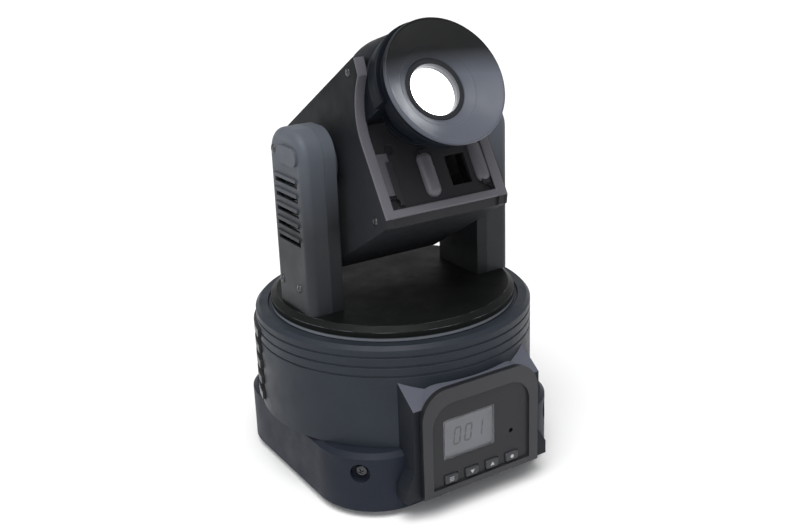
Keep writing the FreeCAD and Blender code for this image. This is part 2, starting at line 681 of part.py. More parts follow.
def make_rear_panel():
    body = new_body("rear_block")
    outline = rounded(minus("rear_half"), "rear_low", "rear_half", "rear_high", "5")
    pad(body, "y", [outline], "panel_half", "rear_face")
    wall = "(rear_half - shell_wall)"
    inner = rounded(minus(wall), "rear_low + shell_wall", wall, "rear_high - shell_wall", "3")
    pocket(body, "y", [inner], "panel_half", "rear_face - shell_wall")
    pocket(body, "y", [centred(*INLET, "14.1", "10.1")]
           + [circle(x, DMX_HEIGHT, "12.1") for x in DMX_PLACES.values()],
           "rear_face - shell_wall", "rear_face")
    drum = rod("rear_drum_cut", "z", "drum_radius", "skirt_top", "deck_top")
    skirt = block("rear_skirt_cut", ("-corner_reach", "0", "0"), ("corner_reach", "skirt_half", "skirt_top"))
    keep(cut("rear_panel", body, [drum, skirt]), "rear_panel")


def make_power_inlet():
    """A three-pin appliance inlet: a flanged box with a blind socket."""
    body = new_body("power_inlet")
    pad(body, "y", [rounded("-17", "rear_low + 4", "17", "rear_low + 30", "2")], "rear_face", "rear_face + 2")
    pad(body, "y", [centred(*INLET, "14", "10")], "rear_face - 22", "rear_face")
    pocket(body, "y", [centred(*INLET, "12", "8")], "rear_face - 16", "rear_face + 2")
    pins = [centred(x, plus(INLET[1], y), "1", "2") for x, y in (("-7", "-2"), ("0", "3"), ("7", "-2"))]
    pad(body, "y", pins, "rear_face - 16", "rear_face - 4")
    keep(body, "power_inlet")


def make_dmx_sockets():
    """Round three-pole data sockets: pins in the input, holes in the output."""
    for name, x in DMX_PLACES.items():
        body = new_body(name)
        plate = centred(x, DMX_HEIGHT, "13", "13.5")
        pad(body, "y", [plate], "rear_face", "rear_face + 2")
        pad(body, "y", [circle(x, DMX_HEIGHT, "12")], "rear_face - 20", "rear_face")
        poles = []
        for angle in (90, 210, 330):
            step = around("4.6", angle)
            poles.append((plus(x, step[0]), plus(DMX_HEIGHT, step[1])))
        if name == "dmx_in_socket":
            pocket(body, "y", [circle(x, DMX_HEIGHT, "9")], "rear_face - 15", "rear_face + 2")
            pad(body, "y", [circle(px, pz, "1.2") for px, pz in poles], "rear_face - 15", "rear_face - 4")
        else:
            pad(body, "y", [circle(x, DMX_HEIGHT, "10")], "rear_face + 2", "rear_reach")
            pocket(body, "y", [circle(px, pz, "1.4") for px, pz in poles], "rear_face - 12", "rear_reach")
        keep(body, name)


def eye_body(name):
    """The flat outline of the safety lug, turned to the rear right corner."""
    body = new_body(name)
    pad(body, "z", [rounded("corner_reach - 12", "-11", "corner_reach + 15", "11", "6")],
        "eye_low", "eye_low + 3")
    body.Placement.Rotation = FreeCAD.Rotation(AXES["z"], 45)
    return body


def make_safety_eye():
    body = eye_body("safety_eye")
    pocket(body, "z", [circle("corner_reach + 7", "0", "5.5")], "eye_low", "eye_low + 3")
    keep(body, "safety_eye")


# ----------------------------------------------------------------------- yoke

def make_pan_hub():
    """The hollow shaft that carries the yoke and passes its cables."""
    body = new_body("pan_hub")
    low = "chassis_low - 12"
    turn(body, "z", [("bracket_low", "hub_bore"), ("bracket_low", "hub_flange"),
                     ("bracket_low - 3", "hub_flange"), ("bracket_low - 3", "hub_radius"),
                     (low, "hub_radius"), (low, "hub_bore")])
    keep(body, "pan_hub")


def bracket_outline(inner, outer):
    """Front view of a sheet bracket bent up at both sides."""
    top = "tilt_height + bracket_rise"
    low, floor = "bracket_low", "bracket_low + 2"
    return [(outer, low), (outer, top), (inner, top), (inner, floor), (minus(inner), floor),
            (minus(inner), top), (minus(outer), top), (minus(outer), low)]


def make_yoke_frame():
    body = new_body("yoke_frame")
    pad(body, "y", [bracket_outline("bracket_inner", "bracket_outer")],
        "-bracket_half_depth", "bracket_half_depth")
    pocket(body, "x", [circle("0", "tilt_height", "shaft_radius + 0.4")],
           "-bracket_outer - 1", "bracket_outer + 1")
    pocket(body, "x", [circle("0", "tilt_height - tilt_motor_drop", "7")], "0", "bracket_outer + 1")
    pocket(body, "z", [circle("0", "0", "hub_bore")], "bracket_low", "bracket_low + 2")
    keep(body, "yoke_frame")


def make_yoke_disc():
    """The shallow dished cover that turns on the deck and holds up both arms."""
    body = new_body("disc_shell")
    skin = "disc_high - disc_skin"
    wall = "disc_radius - shell_wall"
    turn(body, "z", [("disc_low", "disc_radius"), ("disc_high - 3", "disc_radius"),
                     ("disc_high", "disc_radius - 4"), ("disc_high", "0"), (skin, "0"),
                     (skin, less(wall, "2")), (less(skin, "2"), wall), ("disc_low", wall)])
    slots = [block("disc_slot_%d" % side,
                   ("%d * 69.75 - 1.2" % side, "-bracket_half_depth - 0.3", "disc_low"),
                   ("%d * 69.75 + 1.2" % side, "bracket_half_depth + 0.3", "disc_high + 1"))
             for side in (-1, 1)]
    keep(cut("yoke_disc", body, slots), "yoke_disc")


def arm_outline(inset):
    """Side view of an arm about the tilt axis, with a rounded top, set a little forward."""
    back = "(arm_half_depth - arm_forward - (%s))" % inset
    front = "(-arm_half_depth - arm_forward + (%s))" % inset
    top = "(arm_top - (%s))" % inset
    corner = "(arm_corner - (%s))" % inset
    foot = "-arm_foot"
    return [(back, foot), (back, less(top, corner)), (less(back, corner), top, corner),
            (plus(front, corner), top), (front, less(top, corner), corner), (front, foot)]


def louvre_places():
    count = int(number("louvre_count"))
    return ["louvre_first + %d * louvre_pitch" % index for index in range(count)]


def arm_tray(name, face):
    """Outer half of a right-hand arm: a tray with a domed edge, louvres and an oval boss."""
    body = new_body(name)
    pad(body, "x", [arm_outline("0")], "yoke_seam", face)
    rim = []
    for index, edge in enumerate(body.Shape.Edges, start=1):
        box = edge.BoundBox
        if box.XMin > number(face) - 0.01 and box.ZMax > -number("arm_foot") + 1:
            rim.append("Edge%d" % index)
    dress(body, "Fillet", rim, "arm_round")
    slots = [rectangle("-18", z, "-18 + louvre_long", plus(z, "3.6")) for z in louvre_places()]
    pocket(body, "x", [arm_outline("arm_wall + 2")], "yoke_seam", less(face, "arm_wall"))
    pocket(body, "x", [arm_outline("arm_wall")], "yoke_seam", less(face, "arm_round"))
    pocket(body, "x", slots, less(face, "arm_wall + 1"), plus(face, "1"))
    hoods = [rectangle("-18", plus(z, "3.6"), "-18 + louvre_long", plus(z, "6")) for z in louvre_places()]
    pad(body, "x", hoods, less(face, "1"), plus(face, "1.2"))
    pad(body, "x", [rounded("-21", "3", "5", "15", "5.9")], less(face, "1"), plus(face, "1.6"))
    in_yoke(body)
    return body


def make_arm_outer():
    """The right arm is deeper than the left, because the tilt belt runs in it."""
    keep(arm_tray("arm_right_tray", "(yoke_half + drive_room)"), "arm_right_outer")
    keep(mirrored("arm_left_outer", arm_tray("arm_left_tray", "yoke_half")), "arm_left_outer")


def make_arm_inner():
    """Inner half of the right arm, with the boss that the tilt shaft runs through."""
    body = new_body("arm_right_inner")
    pad(body, "x", [arm_outline("0")], "yoke_gap_half", "yoke_seam")
    pocket(body, "x", [arm_outline("arm_wall")], "yoke_gap_half + arm_wall", "yoke_seam")
    pad(body, "x", [circle("0", "0", "boss_radius")], "boss_face", "yoke_seam")
    pocket(body, "x", [circle("0", "0", "shaft_radius + 0.5")], "boss_face", "yoke_seam")
    pocket(body, "x", [circle("0", "0", "14")], "yoke_seam - 6", "yoke_seam")
    in_yoke(body)
    keep(body, "arm_right_inner")
    keep(mirrored("arm_left_inner", body), "arm_left_inner")


def make_arm_screws():
    heads = []
    for side in (-1, 1):
        for index, (y, z) in enumerate((("-12", "-78"), ("12", "-78"), ("12", "10"))):
            right = ("yoke_half + drive_room", "yoke_half + drive_room + 0.9")
            low = right if side > 0 else ("-yoke_half - 0.9", "-yoke_half")
            spot = (y, plus("tilt_height", z))
            head = rod("arm_screw_%d_%d" % (side, index), "x", "2.8", low[0], low[1], spot)
            heads.append(head)
    keep(fused("arm_screws", heads), "arm_screws")


def make_tilt_drive():
    bearings = new_body("tilt_bearings")
    for low, high in (("yoke_seam - 6", "yoke_seam"), ("-yoke_seam", "-yoke_seam + 6")):
        turn(bearings, "x", ring_profile(low, high, "shaft_radius + shaft_gap", "14"))
    in_yoke(bearings)
    keep(bearings, "tilt_bearings")
    motor = new_body("tilt_motor")
    half = "(tilt_motor_side / 2)"
    drop = "-tilt_motor_drop"
    pad(motor, "x", [rounded(minus(half), less(drop, half), half, plus(drop, half), "3")],
        "tilt_motor_inner", "bracket_inner")
    pocket(motor, "x", [circle("0", drop, "2 + shaft_gap")], "bracket_inner - 6", "bracket_inner")
    in_yoke(motor)
    keep(motor, "tilt_motor")
    pinion = new_body("tilt_motor_pulley")
    turn(pinion, "x", ring_profile("tilt_pulley_inner", "tilt_pulley_outer", "0", "tilt_pinion_radius"),
         ("0", drop))
    turn(pinion, "x", ring_profile("bracket_inner - 5.5", "tilt_pulley_inner", "0", "2"), ("0", drop))
    in_yoke(pinion)
    keep(pinion, "tilt_motor_pulley")
    belt = belt_shape(number("tilt_pulley_radius + belt_gap"), number("tilt_pinion_radius + belt_gap"),
                      number("tilt_motor_drop"), number("belt_thick"), 3)
    item = doc.addObject("Part::Feature", "tilt_belt")
    item.Shape = belt
    down = FreeCAD.Rotation(AXES["y"], 90)
    item.Placement = FreeCAD.Placement(FreeCAD.Vector(number("tilt_pulley_inner + 0.4"), 0,
                                                      number("tilt_height")), down)
    keep(item, "tilt_belt")


# ----------------------------------------------------------------------- head
# The head is drawn level: its nose points along -Y and the tilt axis is X.

def nose(reach):
    """A place in front of the tilt axis, as a coordinate along Y."""
    return minus(reach)


def head_outline(inset, cheek):
    """Side view of the head; the front edge curves forward into the neck."""
    face = "(head_face - (%s))" % cheek
    neck = "(neck_reach - (%s))" % cheek
    top = "(head_top - (%s))" % inset
    floor = "-(head_bottom - (%s))" % inset
    back = "(head_back - (%s))" % inset
    low = "(neck_low - 36)"
    return [
        (minus(face), plus(floor, "5")), (minus(less(face, "4")), floor),
        (less(back, "6"), floor), (back, plus(floor, "6"), "6"), (back, "22"), (less(back, "20"), top),
        (minus(neck), top), (minus(less(neck, "1.5")), "neck_low"),
        (minus(face), low, "-neck_curve"),
    ]


def make_head_covers():
    right = new_body("head_right_cover")
    pad(right, "x", [head_outline("0", "0")], "head_half - side_wall", "head_half")
    hole = [circle("0", "0", "shaft_radius + 0.1")]
    pocket(right, "x", hole, "head_half - side_wall", "head_half")
    in_head(right)
    keep(right, "head_right_cover")
    keep(mirrored("head_left_cover", right), "head_left_cover")


def make_head_front():
    """The face: a curved wall with side flanges, recesses, ribs and the holes for the hood."""
    body = new_body("face_wall")
    half = "(head_half - side_wall)"
    pad(body, "x", [head_outline("0", "cheek")], minus(half), half)
    pad(body, "x", [head_outline("0", "0.2")], minus(half), plus(minus(half), "face_flange"))
    pad(body, "x", [head_outline("0", "0.2")], less(half, "face_flange"), half)
    shell = new_body("face_back_cut")
    pad(shell, "x", [head_outline("head_wall", "cheek + head_wall")], minus(half) + " - 1", plus(half, "1"))
    behind = block("face_rear_cut", (minus(half) + " - 1", "-head_face + cheek + 6", "-head_bottom - 1"),
                   (plus(half, "1"), "head_back + 1", "head_top + 1"))
    above = block("face_top_cut", (minus(half) + " - 1", "-neck_reach + cheek + head_wall", "neck_low + 6"),
                  (plus(half, "1"), "head_back", "head_top + 1"))
    wall = cut("face_sheet", body, [shell, behind, above])
    details = new_body("face_details")
    face = "-head_face + cheek"
    ribs = [rectangle(x0, z0, x1, z1) for x0, z0, x1, z1 in (
        ("-8", "-44", "-2", "-18"), ("31", "-47", "37", "-17"), ("-33", "-50", "-29", "-22"))]
    pad(details, "y", ribs, less(face, "2"), plus(face, "1"))
    pad(details, "y", [rectangle(minus(half), "-head_bottom + 5", half, "-head_bottom + 9")],
        less(face, "1.6"), plus(face, "1"))
    tools = [rod("barrel_hole", "y", "barrel_radius + 0.4", "-neck_reach - 20", "0",
                 ("0", "lens_height")),
             half_drum("front_brow_hole", "brow_root + 0.5", "brow_radius + 0.5", "brow_reach",
                       "brow_low - 0.5", less(half, "face_flange"))]
    for index, (x, z) in enumerate((("-35", "-48"), ("34", "-51"), ("-27", "-14"), ("35", "-11"))):
        tools.append(rod("face_recess_%d" % index, "y", "3.4", less(face, "4"), plus(face, "1.6"), (x, z)))
    tools.append(block("face_slot", ("10", less(face, "1"), "-44"), ("25", plus(face, "4"), "-24")))
    front = cut("head_front", fused("face_with_details", [wall, details]), tools)
    in_head(front)
    keep(front, "head_front")


def make_head_rear():
    """Top, back and bottom of the head in one bent shell, with vents behind the fan."""
    body = new_body("rear_shell")
    half = "(head_half - side_wall)"
    pad(body, "x", [head_outline("0", "cheek")], minus(half), half)
    ribs = [rectangle("%d" % y, "head_top - 1", "%d + 2.4" % y, "head_top + 1.2")
            for y in range(-20, 36, 8)]
    pad(body, "x", ribs, "-38", "38")
    shell = new_body("rear_hollow_cut")
    pad(shell, "x", [head_outline("head_wall", "cheek + head_wall")], minus(half) + " - 1", plus(half, "1"))
    front = block("rear_front_cut", (minus(half) + " - 1", "-neck_reach - 1", "-head_bottom - 1"),
                  (plus(half, "1"), "-head_face + cheek + 6", "neck_low + 6"))
    nose_cut = block("rear_nose_cut", (minus(half) + " - 1", "-neck_reach - 1", "-head_bottom"),
                     (plus(half, "1"), "-neck_reach + cheek + head_wall + 2", "head_top + 3"))
    vents = []
    for index in range(6):
        low = "fan_height - 19 + %d * 7" % index
        vents.append(block("rear_vent_%d" % index, ("-22", "head_back - 5", low),
                           ("22", "head_back + 1", plus(low, "3.2"))))
    brow = half_drum("rear_brow_hole", "brow_root + 0.5", "brow_radius + 0.5", "brow_reach", "0",
                     less(half, "face_flange"))
    rear = cut("head_rear", body, [shell, front, nose_cut, brow] + vents)
    in_head(rear)
    keep(rear, "head_rear")


def half_drum(name, root, radius, reach, low, half):
    """The upper part of a tapering drum about the optical axis, cut flat at its sides."""
    drum = new_body(name + "_drum")
    profile = [(nose("hood_root"), "0"), (nose("hood_root"), root), (nose(reach), radius),
               (nose(reach), "0")]
    turn(drum, "y", profile, ("0", "lens_height"))
    ahead = nose(reach) + " - 1"
    below = block(name + "_below", ("-head_half - 5", ahead, "-head_bottom"),
                  ("head_half + 5", "0", low))
    left = block(name + "_left", ("-head_half - 5", ahead, "-head_bottom"),
                 (minus(half), "0", "head_half + 20"))
    right = block(name + "_right", (half, ahead, "-head_bottom"),
                  ("head_half + 5", "0", "head_half + 20"))
    return cut(name, drum, [below, left, right])


def make_hood():
    """The flared hood with its lens tube and the brow that covers its upper half."""
    body = new_body("hood_shell")
    profile = [
        (nose("hood_root"), "tube_radius"), (nose("hood_root"), "barrel_radius"),
        (nose("hood_flare"), "barrel_radius"), (nose("hood_back"), "hood_back_radius"),
        (nose("hood_front - 2"), "hood_radius"), (nose("hood_front"), "hood_radius - 0.6"),
        (nose("hood_front"), "hood_mouth"), (nose("hood_front - 1"), "hood_mouth - 0.5"),
        (nose("tube_front"), "tube_radius"),
    ]
    turn(body, "y", profile, ("0", "lens_height"))
    brow = half_drum("hood_brow", "brow_root", "brow_radius", "brow_reach", "brow_low", "brow_half")
    lip = half_drum("hood_lip", "brow_lip", "brow_lip", "brow_reach + 1", "brow_low", "brow_lip + 1")
    axis = ("0", "lens_height")
    behind = rod("lip_behind", "y", "brow_lip + 1", nose("brow_lip_start"), "0", axis)
    core = rod("brow_core", "y", "barrel_radius - 1", nose("brow_reach + 5"), "0", axis)
    drum = fused("brow_and_lip", [brow, cut("brow_lip_ring", lip, [behind])])
    ring = cut("brow_ring", drum, [core])
    hood = fused("hood_and_brow", [body, ring])
    in_head(hood)
    keep(hood, "hood")


def make_front_optics():
    cell = new_body("lens_cell")
    outer = "tube_radius - cell_gap"
    turn(cell, "y", [
        (nose("62"), "lens_radius - 2"), (nose("62"), outer), (nose("tube_front"), outer),
        (nose("tube_front"), "lens_radius + 0.6"), (nose("tube_front - 2"), "lens_radius"),
        (nose("67"), "lens_radius"), (nose("67"), "lens_radius - 2"),
    ], ("0", "lens_height"))
    in_head(cell)
    keep(cell, "lens_cell")
    lens = new_body("front_lens")
    turn(lens, "y", [
        (nose("67"), "0"), (nose("67"), "lens_radius"), (nose("69.5"), "lens_radius"),
        (nose("74.6"), "0", "(lens_radius^2 + 5.1^2) / (2 * 5.1)"),
    ], ("0", "lens_height"))
    in_head(lens)
    keep(lens, "front_lens")
    condenser = new_body("condenser_lens")
    turn(condenser, "y", [
        (nose("-3"), "0"), (nose("-3"), "8.5"), (nose("1"), "8.5"),
        (nose("5"), "0", "(8.5^2 + 4^2) / (2 * 4)"),
    ], ("0", "lens_height"))
    in_head(condenser)
    keep(condenser, "condenser_lens")


def wheel_centre(side):
    """Centre of a wheel, beside and below the optical axis."""
    return ("%d * wheel_offset * cos(wheel_angle * 1 deg)" % side,
            "lens_height - wheel_offset * sin(wheel_angle * 1 deg)")


def make_wheels():
    """Gobo and colour wheels on micro motors, each with one hole on the optical axis."""
    motors = new_body("wheel_motors")
    for side in (-1, 1):
        pad(motors, "y", [circle(*wheel_centre(side), "micro_motor")], "-10", "4")
    for side in (-1, 1):
        pocket(motors, "y", [circle(*wheel_centre(side), "pin_radius + shaft_gap")], "-10", "-3")
    in_head(motors)
    keep(motors, "wheel_motors")
    for name, side, plane, count, hole in (("gobo_wheel", -1, "gobo_plane", 8, "4.2"),
                                           ("color_wheel", 1, "color_plane", 9, "4.6")):
        body = new_body(name)
        x, z = wheel_centre(side)
        front, back = minus(plus(plane, "wheel_thick")), minus(plane)
        pad(body, "y", [circle(x, z, "wheel_radius")], front, back)
        pad(body, "y", [circle(x, z, "pin_radius")], back, "-3.5")
        towards = 30 if side < 0 else 150
        holes = []
        for index in range(count):
            dx, dz = around("wheel_offset", towards + 360.0 * index / count)
            holes.append(circle(plus(x, dx), plus(z, dz), hole))
        pocket(body, "y", holes, front, back)
        in_head(body)
        keep(body, name)


def make_head_chassis():
    """A cross plate for the motors and wheels, and a shelf for the cooled lamp."""
    body = new_body("head_chassis")
    side = "(head_half - side_wall - 2.2)"
    pad(body, "y", [rectangle(minus(side), "-head_bottom + 4", side, "head_top - 4")], "-12", "-10")
    pad(body, "z", [rectangle(minus(side), "-10", side, "44")], "-17.5", "-15.5")
    pad(body, "y", [circle("0", "lens_height", "9.3")], "-10", "3")
    pocket(body, "y", [circle("0", "lens_height", "8.5")], "-10", "3")
    pocket(body, "y", [circle("0", "lens_height", "5")], "-12", "-10")
    pocket(body, "y", [circle(*wheel_centre(s), "pin_radius + 0.4") for s in (-1, 1)], "-12", "-10")
    in_head(body)
    keep(body, "head_chassis")


def make_lamp():
    engine = new_body("led_engine")
    turn(engine, "y", [
        (nose("-10"), "0"), (nose("-10"), "16"), (nose("-8"), "16"), (nose("-8"), "5"),
        (nose("-6"), "5"), (nose("-4.5"), "3.4"), (nose("-4.5"), "0"),
    ], ("0", "lens_height"))
    in_head(engine)
    keep(engine, "led_engine")
    sink = new_body("heat_sink")
    low, high = "-15.5", "34.5"
    pad(sink, "y", [rectangle("-25", low, "25", high)], "10", "15")
    fins = [rectangle("%s" % x, low, "%s + 1.6" % x, high) for x in range(-25, 25, 5)]
    pad(sink, "y", fins, "15", "40")
    in_head(sink)
    keep(sink, "heat_sink")


def make_fan():
    frame = new_body("fan_frame")
    middle = "fan_height"
    pad(frame, "y", [rounded("-25", "fan_height - 25", "25", "fan_height + 25", "3")], "44", "55")
    pocket(frame, "y", [circle("0", middle, "23")], "46", "55")
    struts = [centred("0", middle, "23.5", "1"), centred("0", middle, "1", "23.5")]
    windows = [circle("0", middle, "23")]
    pocket(frame, "y", windows, "44", "46")
    for strut in struts:
        pad(frame, "y", [strut], "44", "46")
    pad(frame, "y", [circle("0", middle, "9")], "44", "46")
    in_head(frame)
    keep(frame, "fan_frame")
    rotor = new_body("rotor_hub")
    pad(rotor, "y", [circle("0", middle, "9.5")], "46.4", "54.6")
    for angle in range(0, 360, 72):
        blade = doc.addObject("Part::Box", "fan_blade_%d" % angle)
        blade.Length = 21.8
        blade.Width = 6.5
        blade.Height = 1.2
        spin = FreeCAD.Rotation(AXES["y"], angle)
        pitch = FreeCAD.Rotation(AXES["x"], 32)
        start = FreeCAD.Vector(0, 47.6, number(middle))
        blade.Placement = FreeCAD.Placement(start, spin * pitch)
    blades = [item for item in doc.Objects if item.Name.startswith("fan_blade")]
    whole = fused("rotor_whole", [rotor] + blades)
    in_head(whole)
    keep(whole, "fan_rotor")


def make_tilt_shafts():
    """Hollow half-shafts with a flange inside each side of the head."""
    body = new_body("tilt_shafts")
    for low, high, flange in (("42", "tilt_pulley_outer", ("42", "head_half - side_wall")),
                              ("-bracket_outer - 2", "-42", ("-head_half + side_wall", "-42"))):
        turn(body, "x", ring_profile(low, high, "shaft_bore", "shaft_radius"))
        turn(body, "x", ring_profile(flange[0], flange[1], "shaft_bore", "15"))
    in_yoke(body)
    keep(body, "tilt_shafts")
    pulley = new_body("tilt_pulley")
    turn(pulley, "x", ring_profile("tilt_pulley_inner", "tilt_pulley_outer", "shaft_radius",
                                   "tilt_pulley_radius"))
    in_yoke(pulley)
    keep(pulley, "tilt_pulley")


def make_head_screws():
    body = new_body("head_screws")
    places = [("50", "-50"), ("-36", "-54"), ("50", "14"), ("-60", "34")]
    spots = [circle(y, z, "2.6") for y, z in places]
    pad(body, "x", spots, "head_half", "head_half + 0.8")
    pad(body, "x", spots, "-head_half - 0.8", "-head_half")
    in_head(body)
    keep(body, "head_screws")


make_base_plate()
make_rubber_feet()
make_base_skirt()
make_base_screws()
make_base_drum()
make_side_vents()
make_panel_housing()
make_panel_bezel()
make_display()
make_panel_pcb()
make_buttons()
make_base_chassis()
make_pan_drive()
make_electronics()
make_rear_panel()
make_power_inlet()
make_dmx_sockets()
make_safety_eye()
make_pan_hub()
make_yoke_frame()
make_yoke_disc()
make_arm_outer()
make_arm_inner()
make_arm_screws()
make_tilt_drive()
make_head_covers()
make_head_front()
make_head_rear()
make_hood()
make_front_optics()
make_wheels()
make_head_chassis()
make_lamp()
make_fan()
make_tilt_shafts()
make_head_screws()

doc.recompute()
for item in doc.Objects:
    if "Invalid" in item.State or "Error" in item.State:
        raise ValueError("%s is %s" % (item.Label, item.State))
for item in NODES:
    if item.Shape.isNull() or not item.Shape.isValid():
        raise ValueError(item.Label + " has no valid shape")
os.makedirs("parts", exist_ok=True)
for item in NODES:
    item.Shape.exportStep("parts/%s.step" % item.Label)
print("wrote", len(NODES), "sub-parts")
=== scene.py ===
import bmesh
import bpy
import json
import math
from mathutils import Matrix, Vector

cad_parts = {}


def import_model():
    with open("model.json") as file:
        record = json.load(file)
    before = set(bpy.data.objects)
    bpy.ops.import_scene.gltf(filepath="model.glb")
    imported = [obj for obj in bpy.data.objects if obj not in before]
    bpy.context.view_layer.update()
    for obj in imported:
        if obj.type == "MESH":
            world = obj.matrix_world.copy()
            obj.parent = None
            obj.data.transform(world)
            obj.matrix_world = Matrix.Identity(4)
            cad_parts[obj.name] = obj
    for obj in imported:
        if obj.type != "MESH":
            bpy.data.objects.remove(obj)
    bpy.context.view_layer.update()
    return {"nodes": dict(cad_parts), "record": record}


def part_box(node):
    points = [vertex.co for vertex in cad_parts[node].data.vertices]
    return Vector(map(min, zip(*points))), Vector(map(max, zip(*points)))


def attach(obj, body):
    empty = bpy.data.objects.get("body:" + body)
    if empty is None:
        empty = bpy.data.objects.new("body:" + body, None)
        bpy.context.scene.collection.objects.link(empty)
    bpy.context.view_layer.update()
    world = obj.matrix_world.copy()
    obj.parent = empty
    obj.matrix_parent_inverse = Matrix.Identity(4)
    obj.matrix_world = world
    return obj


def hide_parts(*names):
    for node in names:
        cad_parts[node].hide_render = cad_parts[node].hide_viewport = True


# Looks for a moving head light.  Metres, in the frame of the CAD model: the
# pan axis is Z, the floor is z = 0 and the control panel faces -Y.

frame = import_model()
record = frame["record"]

MM = 0.001
UP = Vector((0, 0, 1))
JOINTS = {joint["name"]: joint for joint in record["behaviour"]["joints"]}
BODY_OF = {node: body for body, nodes in record["behaviour"]["bodies"].items() for node in nodes}
SLOT_OF = {part["node"]: part["material_slot"] for part in record["subparts"]}
MATERIALS = {}
BEZEL_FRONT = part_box("panel_bezel")[0].y


# ------------------------------------------------------------------ materials

class Recipe:
    """Builds one node material; every helper returns an output socket."""

    def __init__(self, name):
        self.material = bpy.data.materials.new(name)
        self.material.use_nodes = True
        self.tree = self.material.node_tree
        self.shader = self.tree.nodes["Principled BSDF"]
        self.place = self.node("ShaderNodeTexCoord").outputs["Object"]

    def node(self, kind, **settings):
        made = self.tree.nodes.new(kind)
        for key, value in settings.items():
            setattr(made, key, value)
        return made

    def put(self, value, socket):
        """Link an output to a socket, or set the socket to a plain value."""
        if isinstance(value, bpy.types.NodeSocket):
            self.tree.links.new(value, socket)
        else:
            socket.default_value = value

    def feed(self, made, **inputs):
        for key, value in inputs.items():
            self.put(value, made.inputs[key.replace("_", " ")])
        return made

    def noise(self, scale, detail=3, roughness=0.55, distortion=0.0):
        made = self.feed(self.node("ShaderNodeTexNoise"), Vector=self.place, Scale=scale,
                         Detail=detail, Roughness=roughness, Distortion=distortion)
        return made.outputs["Fac"]

    def spread(self, value, low, high, out_low, out_high):
        made = self.feed(self.node("ShaderNodeMapRange"), Value=value)
        for index, number in enumerate((low, high, out_low, out_high), start=1):
            made.inputs[index].default_value = number
        return made.outputs["Result"]

    def maths(self, operation, first, second):
        made = self.node("ShaderNodeMath", operation=operation)
        for socket, value in zip(made.inputs, (first, second)):
            self.put(value, socket)
        return made.outputs["Value"]

    def mix(self, share, first, second):
        made = self.node("ShaderNodeMix", data_type="RGBA")
        for index, value in ((0, share), (6, first), (7, second)):       # its factor and two colours
            self.put(value, made.inputs[index])
        return made.outputs[2]

    def soft_edges(self, radius):
        return self.feed(self.node("ShaderNodeBevel", samples=4), Radius=radius).outputs["Normal"]

    def edge_share(self, normal):
        """How strongly a point lies on a rounded edge, 0 to 1."""
        true = self.node("ShaderNodeNewGeometry").outputs["Normal"]
        dot = self.node("ShaderNodeVectorMath", operation="DOT_PRODUCT")
        self.put(normal, dot.inputs[0])
        self.put(true, dot.inputs[1])
        return self.spread(dot.outputs["Value"], 0.995, 0.86, 0.0, 1.0)

    def facing_up(self, low=0.55, high=1.0):
        true = self.node("ShaderNodeNewGeometry").outputs["Normal"]
        parts = self.feed(self.node("ShaderNodeSeparateXYZ"), Vector=true)
        return self.spread(parts.outputs["Z"], low, high, 0.0, 1.0)

    def along_axis(self, axis, low, high, share):
        """A share that grows from nothing along one axis of the object."""
        parts = self.feed(self.node("ShaderNodeSeparateXYZ"), Vector=self.place)
        return self.spread(parts.outputs[axis], low, high, 0, share)

    def bump(self, height, strength, distance, normal=None):
        made = self.feed(self.node("ShaderNodeBump"), Strength=strength, Distance=distance, Height=height)
        if normal is not None:
            self.put(normal, made.inputs["Normal"])
        return made.outputs["Normal"]

    def surface(self, **inputs):
        self.feed(self.shader, **inputs)
        return self.material


def rgb(color, gain=1.0):
    return (*[min(channel * gain, 1.0) for channel in color], 1.0)


def moulded(name, color, rough=0.42, grain=1500, relief=0.35, wear=0.5, dust=0.05, edge=0.0006,
            sheen=0.3, fade=None, lit=None):
    """Textured moulded plastic: fine grain, uneven gloss, rubbed edges and a little dust.

    A fade (axis, low, high, share, colour) mixes in a second colour along an axis, which most
    materials use for painted light and shade, and lit is a level and the colour of the faces above it that
    look up, a painted highlight.
    """
    r = Recipe(name)
    grains = r.noise(grain, 2, 0.6)
    uneven = r.noise(55, 6, 0.6)
    broad = r.noise(11, 3, 0.5, 0.4)
    tone = r.mix(r.spread(broad, 0.3, 0.7, 0, 1), rgb(color, 0.84), rgb(color, 1.14))
    tone = r.mix(r.spread(grains, 0.35, 0.75, 0, 0.35), tone, rgb(color, 1.5))
    # painted light and shade: in most materials the fade's second colour stands in for how light falls
    if fade is not None:
        axis, low, high, share, other = fade
        tone = r.mix(r.along_axis(axis, low, high, share), tone, rgb(other))
    # painted highlight: faces above the level that look up take a lighter colour
    if lit is not None:
        level, color_up = lit
        bright = r.maths("MULTIPLY", r.facing_up(0.3, 0.62), r.along_axis("Z", level, level + 0.005, 1))
        tone = r.mix(bright, tone, rgb(color_up))
    edges = r.soft_edges(edge)
    worn = r.maths("MULTIPLY", r.edge_share(edges), r.spread(uneven, 0.42, 0.62, 0, wear))
    tone = r.mix(worn, tone, rgb([channel * 2.2 + 0.012 for channel in color]))
    settled = r.maths("MULTIPLY", r.facing_up(), r.spread(r.noise(38, 7, 0.65), 0.4, 0.75, 0, dust))
    tone = r.mix(settled, tone, (0.30, 0.29, 0.27, 1))
    gloss = r.maths("ADD", r.spread(uneven, 0.3, 0.7, rough - 0.07, rough + 0.09),
                    r.maths("MULTIPLY", settled, 0.6))
    return r.surface(Base_Color=tone, Roughness=gloss, Specular_IOR_Level=sheen,
                     Normal=r.bump(grains, relief, 0.00018, edges))


def rubbery(name, color=(0.013, 0.013, 0.014)):
    r = Recipe(name)
    pores = r.noise(900, 4, 0.7)
    dusty = r.spread(r.noise(60, 6, 0.6), 0.45, 0.7, 0, 0.5)
    return r.surface(Base_Color=r.mix(dusty, rgb(color), rgb(color, 2.6)),
                     Roughness=r.spread(pores, 0.3, 0.7, 0.62, 0.86), Specular_IOR_Level=0.35,
                     Normal=r.bump(pores, 0.5, 0.0002, r.soft_edges(0.0004)))


